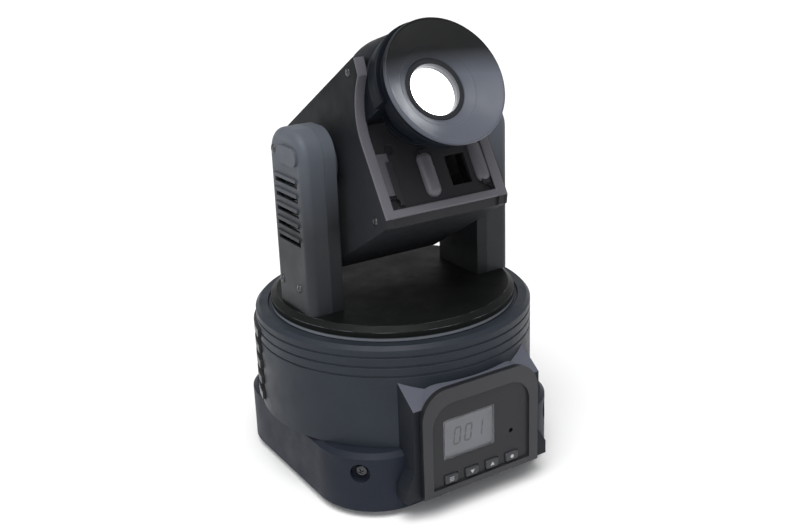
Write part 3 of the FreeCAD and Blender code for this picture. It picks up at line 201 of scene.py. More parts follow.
def metal(name, color, rough=0.3, streaks=True, wear=0.4):
    """Plated or blackened metal with tool marks, smudges and rubbed edges."""
    r = Recipe(name)
    stretch = r.node("ShaderNodeMapping")
    r.feed(stretch, Scale=(1, 1, 14) if streaks else (1, 1, 1), Vector=r.place)
    marks = r.feed(r.node("ShaderNodeTexNoise"), Vector=stretch.outputs["Vector"], Scale=420.0, Detail=4.0)
    smudge = r.noise(90, 5, 0.6)
    edges = r.soft_edges(0.0003)
    tone = r.mix(r.spread(smudge, 0.35, 0.7, 0, 1), rgb(color, 0.8), rgb(color, 1.15))
    tone = r.mix(r.maths("MULTIPLY", r.edge_share(edges), wear), tone, (0.62, 0.62, 0.60, 1))
    return r.surface(Base_Color=tone, Metallic=1.0,
                     Roughness=r.spread(smudge, 0.3, 0.75, rough - 0.08, rough + 0.14),
                     Normal=r.bump(marks.outputs["Fac"], 0.12, 0.0001, edges))


def clear_pane(name):
    r = Recipe(name)
    wipe = r.noise(70, 6, 0.65, 0.6)
    return r.surface(Base_Color=(0.93, 0.95, 0.97, 1), Transmission_Weight=1.0, IOR=1.45,
                     Roughness=r.spread(wipe, 0.35, 0.75, 0.02, 0.14))


def lit_glass(name, strength):
    """The lit front lens: white, a little dimmer and cooler towards the edges of small facets."""
    r = Recipe(name)
    facets = r.feed(r.node("ShaderNodeTexVoronoi"), Vector=r.place, Scale=330.0).outputs["Distance"]
    glow = r.mix(r.spread(facets, 0.0, 0.9, 0, 0.5), (1, 1, 1, 1), (0.88, 0.94, 1.0, 1))
    return r.surface(Base_Color=(0.9, 0.95, 1.0, 1), Roughness=r.spread(r.noise(45, 4), 0.3, 0.7, 0.03, 0.1),
                     Emission_Color=glow, Emission_Strength=strength, Coat_Weight=1.0, Coat_Roughness=0.03)


def lcd(name, color, glow):
    r = Recipe(name)
    fine = r.feed(r.node("ShaderNodeTexChecker"), Vector=r.place, Scale=2600.0).outputs["Fac"]
    cloud = r.noise(42, 3)
    tone = r.mix(r.spread(cloud, 0.3, 0.7, 0, 1), rgb(color, 0.86), rgb(color, 1.12))
    tone = r.mix(r.maths("MULTIPLY", fine, 0.12), tone, rgb(color, 0.6))
    return r.surface(Base_Color=tone, Roughness=r.spread(cloud, 0.3, 0.7, 0.3, 0.42),
                     Emission_Color=tone, Emission_Strength=glow)


def board(name, color):
    r = Recipe(name)
    tracks = r.feed(r.node("ShaderNodeTexBrick"), Vector=r.place, Scale=260.0).outputs["Fac"]
    weave = r.noise(700, 2)
    tone = r.mix(r.maths("MULTIPLY", tracks, 0.6), rgb(color), rgb(color, 2.2))
    return r.surface(Base_Color=tone, Roughness=r.spread(weave, 0.3, 0.7, 0.35, 0.55),
                     Normal=r.bump(tracks, 0.3, 0.0001))


def make_materials():
    MATERIALS.update(
        housing_plastic=moulded("housing_plastic", (0.017, 0.0215, 0.0295), 0.45, dust=0.02, sheen=0.2),
        trim_plastic=moulded("trim_plastic", (0.017, 0.018, 0.021), 0.36, grain=1900, relief=0.25),
        rubber=rubbery("rubber"),
        belt_rubber=rubbery("belt_rubber", (0.016, 0.015, 0.015)),
        zinc_steel=metal("zinc_steel", (0.50, 0.51, 0.53), 0.34),
        screw_steel=metal("screw_steel", (0.07, 0.072, 0.078), 0.30, streaks=False),
        machined_steel=metal("machined_steel", (0.42, 0.43, 0.45), 0.22),
        pulley_plastic=moulded("pulley_plastic", (0.30, 0.29, 0.27), 0.5, grain=900),
        motor_black=metal("motor_black", (0.06, 0.06, 0.065), 0.4),
        aluminium=metal("aluminium", (0.60, 0.61, 0.63), 0.28),
        glass=lit_glass("glass", strength=5.0),
        window_clear=clear_pane("window_clear"),
        display_dark=lcd("display_dark", (0.12, 0.123, 0.14), glow=0.12),
        circuit_board=board("circuit_board", (0.012, 0.06, 0.03)),
        connector_black=moulded("connector_black", (0.014, 0.014, 0.016), 0.3, grain=2200, relief=0.2,
                                wear=0.2, dust=0.03),
        key_plastic=moulded("key_plastic", (0.032, 0.034, 0.038), 0.4, grain=2200, relief=0.25, wear=0.7),
        wheel_metal=metal("wheel_metal", (0.5, 0.5, 0.52), 0.25),
        # painted shade: the yoke disc's top is near-black above z = 0.1146 m; below it the lower flange is
        # pale as painted light
        disc_plastic=moulded("disc_plastic", (0.17, 0.185, 0.21), 0.5, dust=0.01, sheen=0.14,
                             fade=("Z", 0.1146, 0.1156, 1.0, (0.003, 0.0035, 0.0035))),
        skirt_plastic=moulded("skirt_plastic", (0.0125, 0.0155, 0.0245), 0.5, dust=0.02, sheen=0.14),
        # painted highlight: faces of the panel dock that look up, above z = 0.06 m, are lighter
        dock_plastic=moulded("dock_plastic", (0.009, 0.011, 0.015), 0.48, dust=0.02, sheen=0.16,
                             lit=(0.06, (0.085, 0.090, 0.112))),
        bezel_plastic=moulded("bezel_plastic", (0.026, 0.0265, 0.030), 0.36, grain=1900, relief=0.25,
                              dust=0.02, fade=("Y", BEZEL_FRONT + 0.0003, BEZEL_FRONT + 0.0007, 1.0,
                                               (0.0115, 0.0118, 0.014))),
        # painted light: the head's covers are paler below z = 0.225 m, next to the arms, and darker above
        # 0.262 m
        cover_plastic=moulded("cover_plastic", (0.0165, 0.0175, 0.0205), 0.55, dust=0.01, sheen=0.12,
                              fade=("Z", 0.225, 0.262, 1.0, (0.005, 0.0068, 0.0077))),
        # painted highlight: the outer arm shells fade from dark at z = 0.175 m to much lighter by 0.236 m
        arm_plastic=moulded("arm_plastic", (0.0190, 0.0210, 0.0240), 0.46, dust=0.02, sheen=0.22,
                            fade=("Z", 0.175, 0.236, 1.0, (0.082, 0.092, 0.112))),
        # painted light and shade: the inner arm shells are dark low down, between arm and head, and much
        # lighter above z = 0.23 m
        inner_plastic=moulded("inner_plastic", (0.010, 0.011, 0.0125), 0.5, dust=0.01, sheen=0.2,
                              fade=("Z", 0.18, 0.230, 1.0, (0.075, 0.083, 0.100))),
        face_plastic=moulded("face_plastic", (0.0135, 0.0137, 0.016), 0.45, sheen=0.2),
        # painted light and shade: the hood's cone is pale as painted light, with near-black painted shade
        # across its top above z = 0.27 m
        hood_plastic=moulded("hood_plastic", (0.080, 0.087, 0.108), 0.42, grain=2600, relief=0.12,
                             dust=0.02, sheen=0.24,
                             fade=("Z", 0.270, 0.286, 0.98, (0.002, 0.0023, 0.0025))),
        # painted shade: the barrel, trumpet and brow are near-black to stand in for the shade under the brow
        brow_plastic=moulded("brow_plastic", (0.003, 0.005, 0.0085), 0.5, sheen=0.12),
        # painted highlights: the face's flanges, sill and ribs are a much lighter plastic than the face
        trim_light=moulded("trim_light", (0.088, 0.085, 0.098), 0.34, grain=1800, relief=0.3, wear=0.6,
                           sheen=0.4),
        cheek_plastic=moulded("cheek_plastic", (0.058, 0.056, 0.064), 0.4, sheen=0.35),
        mark_ink=moulded("mark_ink", (0.36, 0.37, 0.39), 0.5, grain=2600, relief=0.1, wear=0.1, dust=0.02),
        digit_ink=lcd("digit_ink", (0.02, 0.022, 0.03), glow=0.02),
    )


FINISH_OF = {
    "yoke_disc": "disc_plastic", "arm_left_inner": "inner_plastic", "arm_right_inner": "inner_plastic",
    "base_skirt": "skirt_plastic", "panel_housing": "dock_plastic", "panel_bezel": "bezel_plastic",
    "head_rear": "cover_plastic", "head_left_cover": "cover_plastic", "head_right_cover": "cover_plastic",
    "arm_left_outer": "arm_plastic", "arm_right_outer": "arm_plastic", "head_front": "face_plastic",
}


def paint_nodes():
    for name, node in frame["nodes"].items():
        finish = FINISH_OF.get(name, SLOT_OF[name])
        node.data.materials.clear()
        node.data.materials.append(MATERIALS[finish])


# -------------------------------------------------------------- mesh building

def soften(outline, radius, steps=4):
    """A closed outline with each corner rounded."""
    points = [Vector(point) for point in outline]
    result = []
    for index, corner in enumerate(points):
        before = points[index - 1] - corner
        after = points[(index + 1) % len(points)] - corner
        reach = min(radius, 0.45 * before.length, 0.45 * after.length)
        start, end = corner + before.normalized() * reach, corner + after.normalized() * reach
        for step in range(steps + 1):
            t = step / steps
            result.append(start * (1 - t) ** 2 + corner * 2 * t * (1 - t) + end * t ** 2)
    return result


def mesh_object(name, verts, faces, finish, smooth=40):
    mesh = bpy.data.meshes.new(name)
    mesh.from_pydata([tuple(vert) for vert in verts], [], faces)
    tidy = bmesh.new()
    tidy.from_mesh(mesh)
    bmesh.ops.recalc_face_normals(tidy, faces=tidy.faces)
    tidy.to_mesh(mesh)
    tidy.free()
    mesh.shade_smooth()
    mesh.set_sharp_from_angle(angle=math.radians(smooth))
    mesh.materials.append(MATERIALS[finish])
    obj = bpy.data.objects.new(name, mesh)
    bpy.context.scene.collection.objects.link(obj)
    return obj


def axes_about(along, up=UP):
    """Two directions square to an axis: across it, and as near up as can be."""
    across = along.cross(up).normalized()
    return across, across.cross(along).normalized()


def lathe_parts(profile, origin, along, segments, sweep=2 * math.pi, up=UP):
    """Vertices and faces of a closed profile [(distance along, radius)] turned about an axis."""
    across, over = axes_about(along, up)
    whole = sweep > 2 * math.pi - 1e-6
    steps = segments if whole else segments + 1
    verts, faces = [], []
    for step in range(steps):
        angle = -sweep / 2 + sweep * step / segments
        out = over * math.cos(angle) + across * math.sin(angle)
        verts += [origin + along * point[0] + out * point[1] for point in profile]
    count = len(profile)
    for step in range(segments):
        here, there = step * count, ((step + 1) % steps) * count
        for index in range(count):
            after = (index + 1) % count
            faces.append((here + index, here + after, there + after, there + index))
    if not whole:
        faces.append(tuple(range(count)))
        faces.append(tuple(range((steps - 1) * count, steps * count)))
    return verts, faces


def join_parts(parts):
    verts, faces = [], []
    for some_verts, some_faces in parts:
        base = len(verts)
        verts += some_verts
        faces += [tuple(base + index for index in face) for face in some_faces]
    return verts, faces


def islands(node):
    """The separate lumps of a CAD node, each as a list of its polygons."""
    mesh = frame["nodes"][node].data
    owner = list(range(len(mesh.vertices)))

    def root(index):
        while owner[index] != index:
            owner[index] = owner[owner[index]]
            index = owner[index]
        return index

    seen = {}
    for vert in mesh.vertices:
        key = tuple(round(c, 6) for c in vert.co)
        owner[root(vert.index)] = root(seen.setdefault(key, vert.index))
    for polygon in mesh.polygons:
        for other in polygon.vertices[1:]:
            owner[root(other)] = root(polygon.vertices[0])
    groups = {}
    for polygon in mesh.polygons:
        groups.setdefault(root(polygon.vertices[0]), []).append(polygon)
    return mesh, list(groups.values())


def outer_caps(node, centre):
    """For each lump of a node that is a short rod: the middle, direction and radius of its outer end."""
    mesh, lumps = islands(node)
    caps = []
    for lump in lumps:
        areas = {}
        for polygon in lump:
            key = tuple(round(c, 2) for c in polygon.normal)
            areas[key] = areas.get(key, 0) + polygon.area
        points = [mesh.vertices[index].co for polygon in lump for index in polygon.vertices]
        middle = sum(points, Vector()) / len(points)
        flat = sorted(areas, key=areas.get, reverse=True)[:2]
        out = max((Vector(key).normalized() for key in flat), key=lambda way: way.dot(middle - centre))
        top = max(point.dot(out) for point in points)
        end = [point for point in points if point.dot(out) > top - 0.0001]
        hub = sum(end, Vector()) / len(end)
        caps.append((hub, out, max((point - hub).length for point in end)))
    return caps


def dress_up(obj, body, slot, *nodes):
    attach(obj, body)
    if nodes:
        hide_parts(*nodes)
    return obj


# --------------------------------------------------------------------- screws

SCREW_SIDES = 32
SCREW_HEIGHT = 0.8                                      # shares of the head's radius
FIRST_SLOT, NEXT_SLOT = 23, 37                          # degrees that the recesses are turned by


def screw_template():
    """A pan-head screw of radius 1, its top at z = 0, with a cross recess."""
    profile = [(-0.004, 0.22), (-0.03, 0.5), (-0.10, 0.76), (-0.22, 0.93), (-0.38, 1.0), (-0.62, 1.0)]
    verts, faces, count = [], [], len(profile)
    for step in range(SCREW_SIDES):
        angle = 2 * math.pi * step / SCREW_SIDES
        for along, radius in profile:
            verts.append(Vector((math.cos(angle) * radius, math.sin(angle) * radius, along)))
    for step in range(SCREW_SIDES):
        here, there = step * count, ((step + 1) % SCREW_SIDES) * count
        for index in range(count - 1):
            faces.append((here + index, there + index, there + index + 1, here + index + 1))
    faces.append(tuple(step * count for step in range(SCREW_SIDES)))
    faces.append(tuple(step * count + count - 1 for step in reversed(range(SCREW_SIDES))))
    head = mesh_object("screw_template", verts, faces, "screw_steel")
    wide, slim, deep, taper = 0.58, 0.13, 0.42, 0.45
    outline = [(wide, -slim), (wide, slim), (slim, slim), (slim, wide), (-slim, wide), (-slim, slim),
               (-wide, slim), (-wide, -slim), (-slim, -slim), (-slim, -wide), (slim, -wide), (slim, -slim)]
    low = [Vector((x * taper, y * taper, -deep)) for x, y in outline]
    high = [Vector((x, y, 0.1)) for x, y in outline]
    corners = len(outline)
    sides = [(i, (i + 1) % corners, corners + (i + 1) % corners, corners + i) for i in range(corners)]
    ends = [tuple(range(corners)), tuple(range(corners, 2 * corners))]
    cross = mesh_object("screw_cross", low + high, sides + ends, "screw_steel")
    bite = head.modifiers.new("recess", "BOOLEAN")
    bite.object = cross
    bite.solver = "EXACT"
    graph = bpy.context.evaluated_depsgraph_get()
    cutmesh = bpy.data.meshes.new_from_object(head.evaluated_get(graph))
    parts = ([vert.co.copy() for vert in cutmesh.vertices], [tuple(p.vertices) for p in cutmesh.polygons])
    for obj in (head, cross):
        bpy.data.objects.remove(obj)
    return parts


def make_screws():
    head_verts, head_faces = screw_template()
    head_middle = (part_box("head_left_cover")[0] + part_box("head_right_cover")[1]) / 2
    for node, centre in (("base_screws", None), ("arm_screws", None), ("head_screws", head_middle)):
        low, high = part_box(node)
        parts = []
        for number, (hub, out, radius) in enumerate(outer_caps(node, centre or (low + high) / 2)):
            across, over = axes_about(out, UP if abs(out.z) < 0.9 else Vector((0, 1, 0)))
            turn = math.radians(FIRST_SLOT + NEXT_SLOT * number)
            side = across * math.cos(turn) + over * math.sin(turn)
            other = out.cross(side)
            verts = [hub + (side * v.x + other * v.y + out * v.z * SCREW_HEIGHT) * radius
                     for v in head_verts]
            parts.append((verts, head_faces))
        obj = mesh_object(node + "_detailed", *join_parts(parts), "screw_steel", 30)
        dress_up(obj, BODY_OF[node], SLOT_OF[node], node)


# ----------------------------------------------------------------- hood, lens

def nose_frame():
    """A point on the optical axis and the nose direction."""
    low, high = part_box("lens_cell")
    along = Vector(JOINTS["focus_slide"]["axis"]).normalized()
    if along.y > 0:
        along = -along
    return (low + high) / 2, along


# Millimetres along the nose from the tilt axis, except BROW_HALF, which is across.
CELL_MIDDLE = 68.5
GRIP_GROOVES = (51.5, 54.5, 57.5)
BROW_LIP_START = 71
BROW_HALF = 39.1
BROW_SWEEP = math.radians(194)


def on_nose(profile):
    """A profile in millimetres from the tilt axis, as metres from the lens cell's middle."""
    return [((along - CELL_MIDDLE) * MM, radius * MM) for along, radius in profile]


def make_hood():
    """The flared cone, pale with painted light and with painted shade across its top, and the near-black
    barrel, trumpet and brow behind it, dark with painted shade.
    """
    origin, along = nose_frame()
    cone = [(87.2, 40.2), (87.4, 41.1), (88.9, 40.9), (89.6, 40.5), (89.6, 39.3), (88.7, 38.35),
            (79.6, 26.2), (79.2, 26.0), (78.6, 24.9), (75.2, 20.2), (74.2, 20.1), (74.2, 21.5)]
    inner = mesh_object("hood_cone", *lathe_parts(soften(on_nose(cone), 0.0006), origin, along, 160),
                        "hood_plastic", 34)
    dress_up(inner, BODY_OF["hood"], SLOT_OF["hood"], "hood")
    shell = [(46.0, 20), (46.0, 25.9), (47.3, 25.9), (47.8, 25.3), (48.0, 23.9), (50, 23.9)]
    for start in GRIP_GROOVES:
        shell += [(start, 23.9), (start + 0.4, 23.4), (start + 1.2, 23.4), (start + 1.6, 23.9)]
    shell += [(60.5, 23.9), (64, 27.2), (68, 32.8), (71, 36.7), (76, 38.1), (81.5, 39.35), (82.0, 38.9),
              (83.0, 39.15), (83.5, 39.8), (87.2, 40.9), (87.2, 39.6), (74.4, 21.8), (73.8, 20)]
    brow = [(46.4, 23.4), (46.4, 49.6), (69.9, 43.7), (70.3, 42.7), (71.0, 42.7), (71.5, 43.4), (80.4, 43.4),
            (80.9, 42.6), (80.9, 38.9), (74.0, 36.6), (60, 23.4)]
    brow_verts, brow_faces = lathe_parts(soften(on_nose(brow), 0.0005), origin, along, 120, BROW_SWEEP)
    for vert in brow_verts:
        if (vert - origin).dot(along) < (BROW_LIP_START - CELL_MIDDLE) * MM:
            vert.x = min(max(vert.x, -BROW_HALF * MM), BROW_HALF * MM)
    parts = [lathe_parts(soften(on_nose(shell), 0.0005), origin, along, 144), (brow_verts, brow_faces)]
    # near-black finish: painted shade
    outer = mesh_object("hood_barrel", *join_parts(parts), "brow_plastic", 34)
    dress_up(outer, BODY_OF["hood"], SLOT_OF["hood"])


def head_place(x, reach, rise):
    """A point of the head from its distances, in millimetres, across, along the nose and up."""
    along = nose_frame()[1]
    over = axes_about(along)[1]
    pivot = Vector(JOINTS["tilt_swivel"]["pos_m"])
    return Vector((x * MM, pivot.y, pivot.z)) + (along * reach + over * rise) * MM


def ribbon(path, sides):
    """A closed section carried along a path of (place, sideways, outward) frames."""
    verts, faces, count = [], [], len(sides)
    for place, sideways, outward in path:
        verts += [place + sideways * u + outward * v for u, v in sides]
    for step in range(len(path) - 1):
        base = step * count
        faces += [(base + i, base + (i + 1) % count, base + count + (i + 1) % count, base + count + i)
                  for i in range(count)]
    faces += [tuple(range(count)), tuple(range(len(verts) - count, len(verts)))]
    return verts, faces


# The trim, in millimetres from the tilt axis: reach is along the nose, rise is up
# from it, and the rest is across, from the head's middle.
NECK_CENTRE, NECK_RADIUS = (90, -8.4), 42               # (reach, rise) of the curve under the lens
FACE_REACH, SILL_REACH, CHEEK_REACH, RIB_REACH = 48, 47.6, 46.9, 45.4
FLANGE_MIDDLE, SILL_HALF, SILL_RISE = 42.8, 40.5, -54.6
CHEEK_MIDDLE, CHEEK_RISES = -34.9, (-43, -16)
RIBS = ((-5, -49, -19, 5.6), (34, -46, -17, 5.2))       # middle, lowest and highest rise, radius
RIB_PRESSED = 0.3


def slab_section(corners, radius, steps):
    """A rounded section from its corners, (sideways, outward) in millimetres."""
    return [tuple(point) for point in soften([(u * MM, v * MM) for u, v in corners], radius, steps)]


def level_section(left, right, bottom, top, radius):
    return slab_section([(left, bottom), (right, bottom), (right, top), (left, top)], radius, 5)


def flange_path(side, along, over):
    """Frames down the face's side edge: the neck, the curve below it and the flat face."""
    points = [(70.5, 38.6, 0.04), (69.9, 34, 0.04)]
    for step in range(13):
        degrees = 120 + 5 * step
        reach = NECK_CENTRE[0] + NECK_RADIUS * math.cos(math.radians(degrees))
        rise = NECK_CENTRE[1] + NECK_RADIUS * math.sin(math.radians(degrees))
        points.append((reach, rise, 180 - degrees))
    points += [(FACE_REACH, rise, 0) for rise in (-30, -52, -57.3)]
    path = []
    for reach, rise, lean in points:
        outward = along * math.cos(math.radians(lean)) - over * math.sin(math.radians(lean))
        path.append((head_place(side * FLANGE_MIDDLE, reach, rise), Vector((side, 0, 0)), outward))
    return path


def rib_parts(x, low, high, radius, along, over):
    """An upright rod with round ends, pressed a little flat."""
    steps = 8
    quarter = [math.pi / 2 * step / steps for step in range(steps + 1)]
    profile = [(low, 0.02)]
    profile += [(low + radius * (1 - math.cos(a)), radius * math.sin(a)) for a in quarter[1:]]
    profile += [(high - radius * (1 - math.cos(a)), max(radius * math.sin(a), 0.02))
                for a in quarter[steps - 1::-1]]
    profile.append((high, 0.005))
    origin = head_place(x, RIB_REACH, 0)
    verts, faces = lathe_parts([(t * MM, r * MM) for t, r in profile], origin, over, 40, up=along)
    return [v - along * (v - origin).dot(along) * RIB_PRESSED for v in verts], faces


def make_face_trim():
    """Rounded flanges down both sides of the face, a sill, a cheek and two upright ribs."""
    along = nose_frame()[1]
    over = axes_about(along)[1]
    flange = level_section(-4.4, 2.9, -1.3, 0.55, 0.0012)
    parts = [ribbon(flange_path(side, along, over), flange) for side in (-1, 1)]
    ends = [(head_place(x, SILL_REACH, SILL_RISE), over, along) for x in (-SILL_HALF, SILL_HALF)]
    parts.append(ribbon(ends, level_section(-2.6, 2.6, -2.0, 0.7, 0.0014)))
    # the flanges and sill are lighter plastic as painted highlights
    trim = mesh_object("face_trim", *join_parts(parts), "trim_light", 45)
    dress_up(trim, BODY_OF["head_front"], "trim_plastic")
    slope = slab_section([(-5.2, -1.5), (5.2, -1.5), (5.2, -0.5), (-5.2, 1.3)], 0.0008, 4)
    ends = [(head_place(CHEEK_MIDDLE, CHEEK_REACH, rise), Vector((1, 0, 0)), along)
            for rise in CHEEK_RISES]
    cheek = mesh_object("face_cheek", *ribbon(ends, slope), "cheek_plastic", 45)
    dress_up(cheek, BODY_OF["head_front"], "trim_plastic")
    ribs = [rib_parts(*size, along, over) for size in RIBS]
    # the ribs too are lighter plastic as painted highlights
    obj = mesh_object("face_ribs", *join_parts(ribs), "trim_light", 50)
    dress_up(obj, BODY_OF["head_front"], "trim_plastic")


def make_lens():
    """A domed front lens.  Back and rim are millimetres from the tilt axis."""
    origin, along = nose_frame()
    radius, rise, back, rim, point, steps = 16.1, 5.0, 67.1, 69.6, 0.02, 13
    ball = (radius ** 2 + rise ** 2) / (2 * rise)
    dome = []
    for step in range(steps + 1):
        across = radius * (1 - step / steps)
        dome.append((rim + math.sqrt(ball ** 2 - across ** 2) - (ball - rise), max(across, point)))
    profile = [(back, point), (back, radius)] + dome
    obj = mesh_object("lens_dome", *lathe_parts(on_nose(profile), origin, along, 96), "glass", 50)
    dress_up(obj, BODY_OF["front_lens"], SLOT_OF["front_lens"], "front_lens")


# ----------------------------------------------------------- panel and its keys

def front_slab(outline, front, back):
    """An outline in x and z, made into a slab between two y values."""
    count = len(outline)
    verts = [Vector((x, y, z)) for y in (front, back) for x, z in outline]
    faces = [tuple(range(count)), tuple(range(2 * count - 1, count - 1, -1))]
    faces += [(i, (i + 1) % count, count + (i + 1) % count, count + i) for i in range(count)]
    return verts, faces


def rectangle(cx, cz, wide, tall):
    return [(cx - wide / 2, cz - tall / 2), (cx + wide / 2, cz - tall / 2),
            (cx + wide / 2, cz + tall / 2), (cx - wide / 2, cz + tall / 2)]


def key_marks(kind, cx, cz):
    """Generic signs: three bars, an arrow up or down, or a dot."""
    if kind == "menu":
        return [rectangle(cx, cz + step * MM, 3.6 * MM, 0.45 * MM) for step in (-1.1, 0, 1.1)]
    if kind in ("up", "down"):
        way = 1 if kind == "up" else -1
        return [[(cx - 1.7 * MM, cz - way * 1.1 * MM), (cx + 1.7 * MM, cz - way * 1.1 * MM),
                 (cx, cz + way * 1.4 * MM)]]
    radius, steps = 1.3 * MM, 24
    return [[(cx + radius * math.cos(a), cz + radius * math.sin(a))
             for a in [2 * math.pi * step / steps for step in range(steps)]]]


KEY_DROP = 0.00012                                     # metres behind the CAD key's front
SIGN_FRONT, SIGN_BACK = 0.00003, 0.0004


def make_keys():
    """A crowned cap with a printed sign for each key."""
    for kind in ("menu", "down", "up", "enter"):
        node = "button_" + kind
        low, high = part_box(node)
        cx, cz = (low.x + high.x) / 2, (low.z + high.z) / 2
        wide, tall = high.x - low.x, high.z - low.z
        outline = [tuple(point) for point in soften(rectangle(0, 0, wide, tall), 0.0015, 6)]
        rings = [(0.0, 0.80), (0.08, 0.90), (0.35, 0.97), (0.8, 1.0), (3.0, 1.0)]
        verts, count = [], len(outline)
        for depth, share in rings:
            grow_x, grow_z = 1 - (1 - share) * tall / wide, share
            verts += [Vector((cx + x * grow_x, low.y + KEY_DROP + depth * MM, cz + z * grow_z))
                      for x, z in outline]
        faces = [tuple(range(count)), tuple(range(len(verts) - 1, len(verts) - count - 1, -1))]
        for ring in range(len(rings) - 1):
            base = ring * count
            faces += [(base + i, base + (i + 1) % count, base + count + (i + 1) % count, base + count + i)
                      for i in range(count)]
        cap = mesh_object("keycap_" + kind, verts, faces, "key_plastic", 60)
        dress_up(cap, BODY_OF[node], SLOT_OF[node], node)
        parts = [front_slab(sign, low.y + SIGN_FRONT, low.y + SIGN_BACK) for sign in key_marks(kind, cx, cz)]
        sign = mesh_object("keysign_" + kind, *join_parts(parts), "mark_ink")
        dress_up(sign, BODY_OF[node], SLOT_OF[node])


SEGMENTS = {"0": "abcdef", "1": "bc"}


def digit(sign, cx, cz, wide, tall, thick):
    """One seven-segment figure as a list of outlines."""
    half_w, half_t, tip = wide / 2, tall / 2, thick / 2
    gap, slant = thick * 0.12, 0.12
    bars = {"a": (0, half_t, True), "d": (0, -half_t, True),
            "b": (half_w, half_t / 2, False), "c": (half_w, -half_t / 2, False),
            "f": (-half_w, half_t / 2, False), "e": (-half_w, -half_t / 2, False)}
    outlines = []
    for name in SEGMENTS[sign]:
        x, z, flat = bars[name]
        reach = (half_w if flat else half_t / 2) - gap
        line = [(-reach, 0), (-reach + tip, -tip), (reach - tip, -tip), (reach, 0), (reach - tip, tip),
                (-reach + tip, tip)]
        if not flat:
            line = [(v, u) for u, v in line]
        outlines.append([(cx + x + u + slant * (z + v), cz + z + v) for u, v in line])
    return outlines


FIGURES = "001"
FIGURE_PITCH, FIGURE_WIDE, FIGURE_TALL, FIGURE_THICK = 8.5 * MM, 4.6 * MM, 11 * MM, 1.3 * MM
DISPLAY_BORDER = 2.5 * MM


def make_display():
    """The lit face behind the window, and its figures."""
    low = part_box("display_module")[0]
    window_low, window_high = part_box("display_window")
    front = low.y - 0.00005
    cx, cz = (window_low.x + window_high.x) / 2, (window_low.z + window_high.z) / 2
    plate = soften(rectangle(cx, cz, window_high.x - window_low.x - 2 * DISPLAY_BORDER,
                             window_high.z - window_low.z - 2 * DISPLAY_BORDER), 0.0008)
    face = mesh_object("display_face", *front_slab([tuple(p) for p in plate], front, low.y + 0.0003),
                       "display_dark")
    dress_up(face, BODY_OF["display_module"], SLOT_OF["display_module"])
    outlines = []
    for place, sign in enumerate(FIGURES):
        outlines += digit(sign, cx + (place - 1) * FIGURE_PITCH, cz, FIGURE_WIDE, FIGURE_TALL, FIGURE_THICK)
    parts = [front_slab(outline, front - 0.00006, front + 0.0001) for outline in outlines]
    figures = mesh_object("display_figures", *join_parts(parts), "digit_ink")
    dress_up(figures, BODY_OF["display_module"], SLOT_OF["display_module"])


# ----------------------------------------------------------------------- feet

def make_feet():
    """Round feet with a dished sole and a waist."""
    mesh, lumps = islands("rubber_feet")
    parts = []
    for lump in lumps:
        points = [mesh.vertices[index].co for polygon in lump for index in polygon.vertices]
        low = Vector([min(point[axis] for point in points) for axis in range(3)])
        high = Vector([max(point[axis] for point in points) for axis in range(3)])
        radius, tall = (high.x - low.x) / 2, high.z - low.z
        point, groove = 0.0001, 0.0008
        profile = [(0.0, point), (0.0, radius * 0.28), (groove, radius * 0.34), (groove, radius * 0.5),
                   (0.0, radius * 0.56), (0.0, radius * 0.9), (tall * 0.25, radius * 0.99),
                   (tall * 0.5, radius * 0.95), (tall * 0.7, radius * 0.99), (tall, radius * 0.99),
                   (tall, point)]
        origin = Vector(((low.x + high.x) / 2, (low.y + high.y) / 2, low.z))
        parts.append(lathe_parts(soften(profile, 0.0003, 2), origin, UP, 40, up=Vector((0, 1, 0))))
    obj = mesh_object("feet_moulded", *join_parts(parts), "rubber")
    dress_up(obj, BODY_OF["rubber_feet"], SLOT_OF["rubber_feet"], "rubber_feet")


# ---------------------------------------------------------------------- stage

CAMERA_PLACE, CAMERA_AIM = (-0.3533, -0.5796, 0.3777), Vector((0, 0, 0.155))
CAMERA_ROLL = math.radians(-2.25)
FLOOR_SIZE, FLOOR_DROP = 60, 0.0002
HORIZON_BAND = (0.03, 0.2)                              # where the world's light fades, by height
HORIZON_LIGHT, SKY_LIGHT = 1.0, 0.48


def camera():
    cam = bpy.data.cameras.new("camera")
    cam.lens, cam.sensor_width = 47, 36
    cam.shift_x, cam.shift_y = 0.0121, -0.0358
    obj = bpy.data.objects.new("camera", cam)
    bpy.context.scene.collection.objects.link(obj)
    obj.location = CAMERA_PLACE
    aim = CAMERA_AIM - obj.location
    turn = aim.to_track_quat("-Z", "Y").to_matrix().to_4x4()
    roll = Matrix.Rotation(CAMERA_ROLL, 4, "Z")
    obj.matrix_world = Matrix.Translation(obj.location) @ turn @ roll
    bpy.context.scene.camera = obj


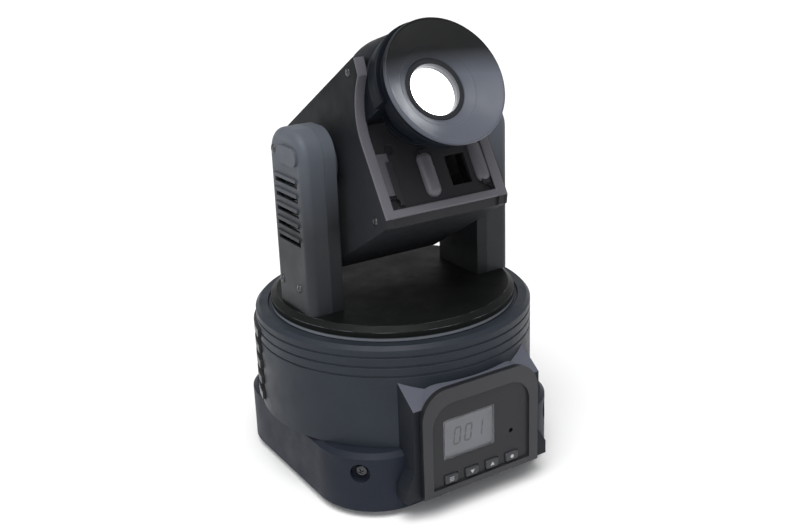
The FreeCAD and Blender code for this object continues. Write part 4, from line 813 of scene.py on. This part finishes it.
def floor():
    bpy.ops.mesh.primitive_plane_add(size=FLOOR_SIZE, location=(0, 0, -FLOOR_DROP))
    obj = bpy.context.object
    obj.name = "floor"
    r = Recipe("floor")
    tone = r.mix(r.spread(r.noise(3, 3), 0.3, 0.7, 0, 1), (0.88, 0.88, 0.88, 1), (0.92, 0.92, 0.92, 1))
    obj.data.materials.append(r.surface(Base_Color=tone, Roughness=0.85, Specular_IOR_Level=0.1))


def light(name, where, size, power, color=(1, 1, 1), aim=(0, 0, 0.15)):
    data = bpy.data.lights.new(name, "AREA")
    data.energy = power
    data.size = size
    data.color = color
    obj = bpy.data.objects.new(name, data)
    obj.location = where
    obj.rotation_euler = (Vector(aim) - Vector(where)).to_track_quat("-Z", "Y").to_euler()
    bpy.context.scene.collection.objects.link(obj)


def sun(name, towards, strength, spread):
    data = bpy.data.lights.new(name, "SUN")
    data.energy = strength
    data.angle = math.radians(spread)
    obj = bpy.data.objects.new(name, data)
    obj.rotation_euler = (-Vector(towards)).to_track_quat("-Z", "Y").to_euler()
    bpy.context.scene.collection.objects.link(obj)


def world():
    """A plain white surround, brightest at the horizon."""
    w = bpy.data.worlds.new("world")
    bpy.context.scene.world = w
    w.use_nodes = True
    tree = w.node_tree
    place = tree.nodes.new("ShaderNodeTexCoord")
    parts = tree.nodes.new("ShaderNodeSeparateXYZ")
    share = tree.nodes.new("ShaderNodeMapRange")
    for index, number in enumerate((*HORIZON_BAND, HORIZON_LIGHT, SKY_LIGHT), start=1):
        share.inputs[index].default_value = number
    tree.links.new(place.outputs["Generated"], parts.inputs["Vector"])
    tree.links.new(parts.outputs["Z"], share.inputs["Value"])
    tree.links.new(share.outputs["Result"], tree.nodes["Background"].inputs["Strength"])
    tree.nodes["Background"].inputs["Color"].default_value = (1, 1, 1, 1)
    bpy.context.scene.view_settings.view_transform = "Standard"


make_materials()
paint_nodes()
make_screws()
make_hood()
make_lens()
make_face_trim()
make_keys()
make_display()
make_feet()
camera()
floor()
world()
sun("key", towards=(-0.3, -0.3, 1.0), strength=2.7, spread=45)
light("front", where=(-1.0, -1.2, 0.8), size=0.7, power=2.6, color=(0.9, 0.95, 1.0))
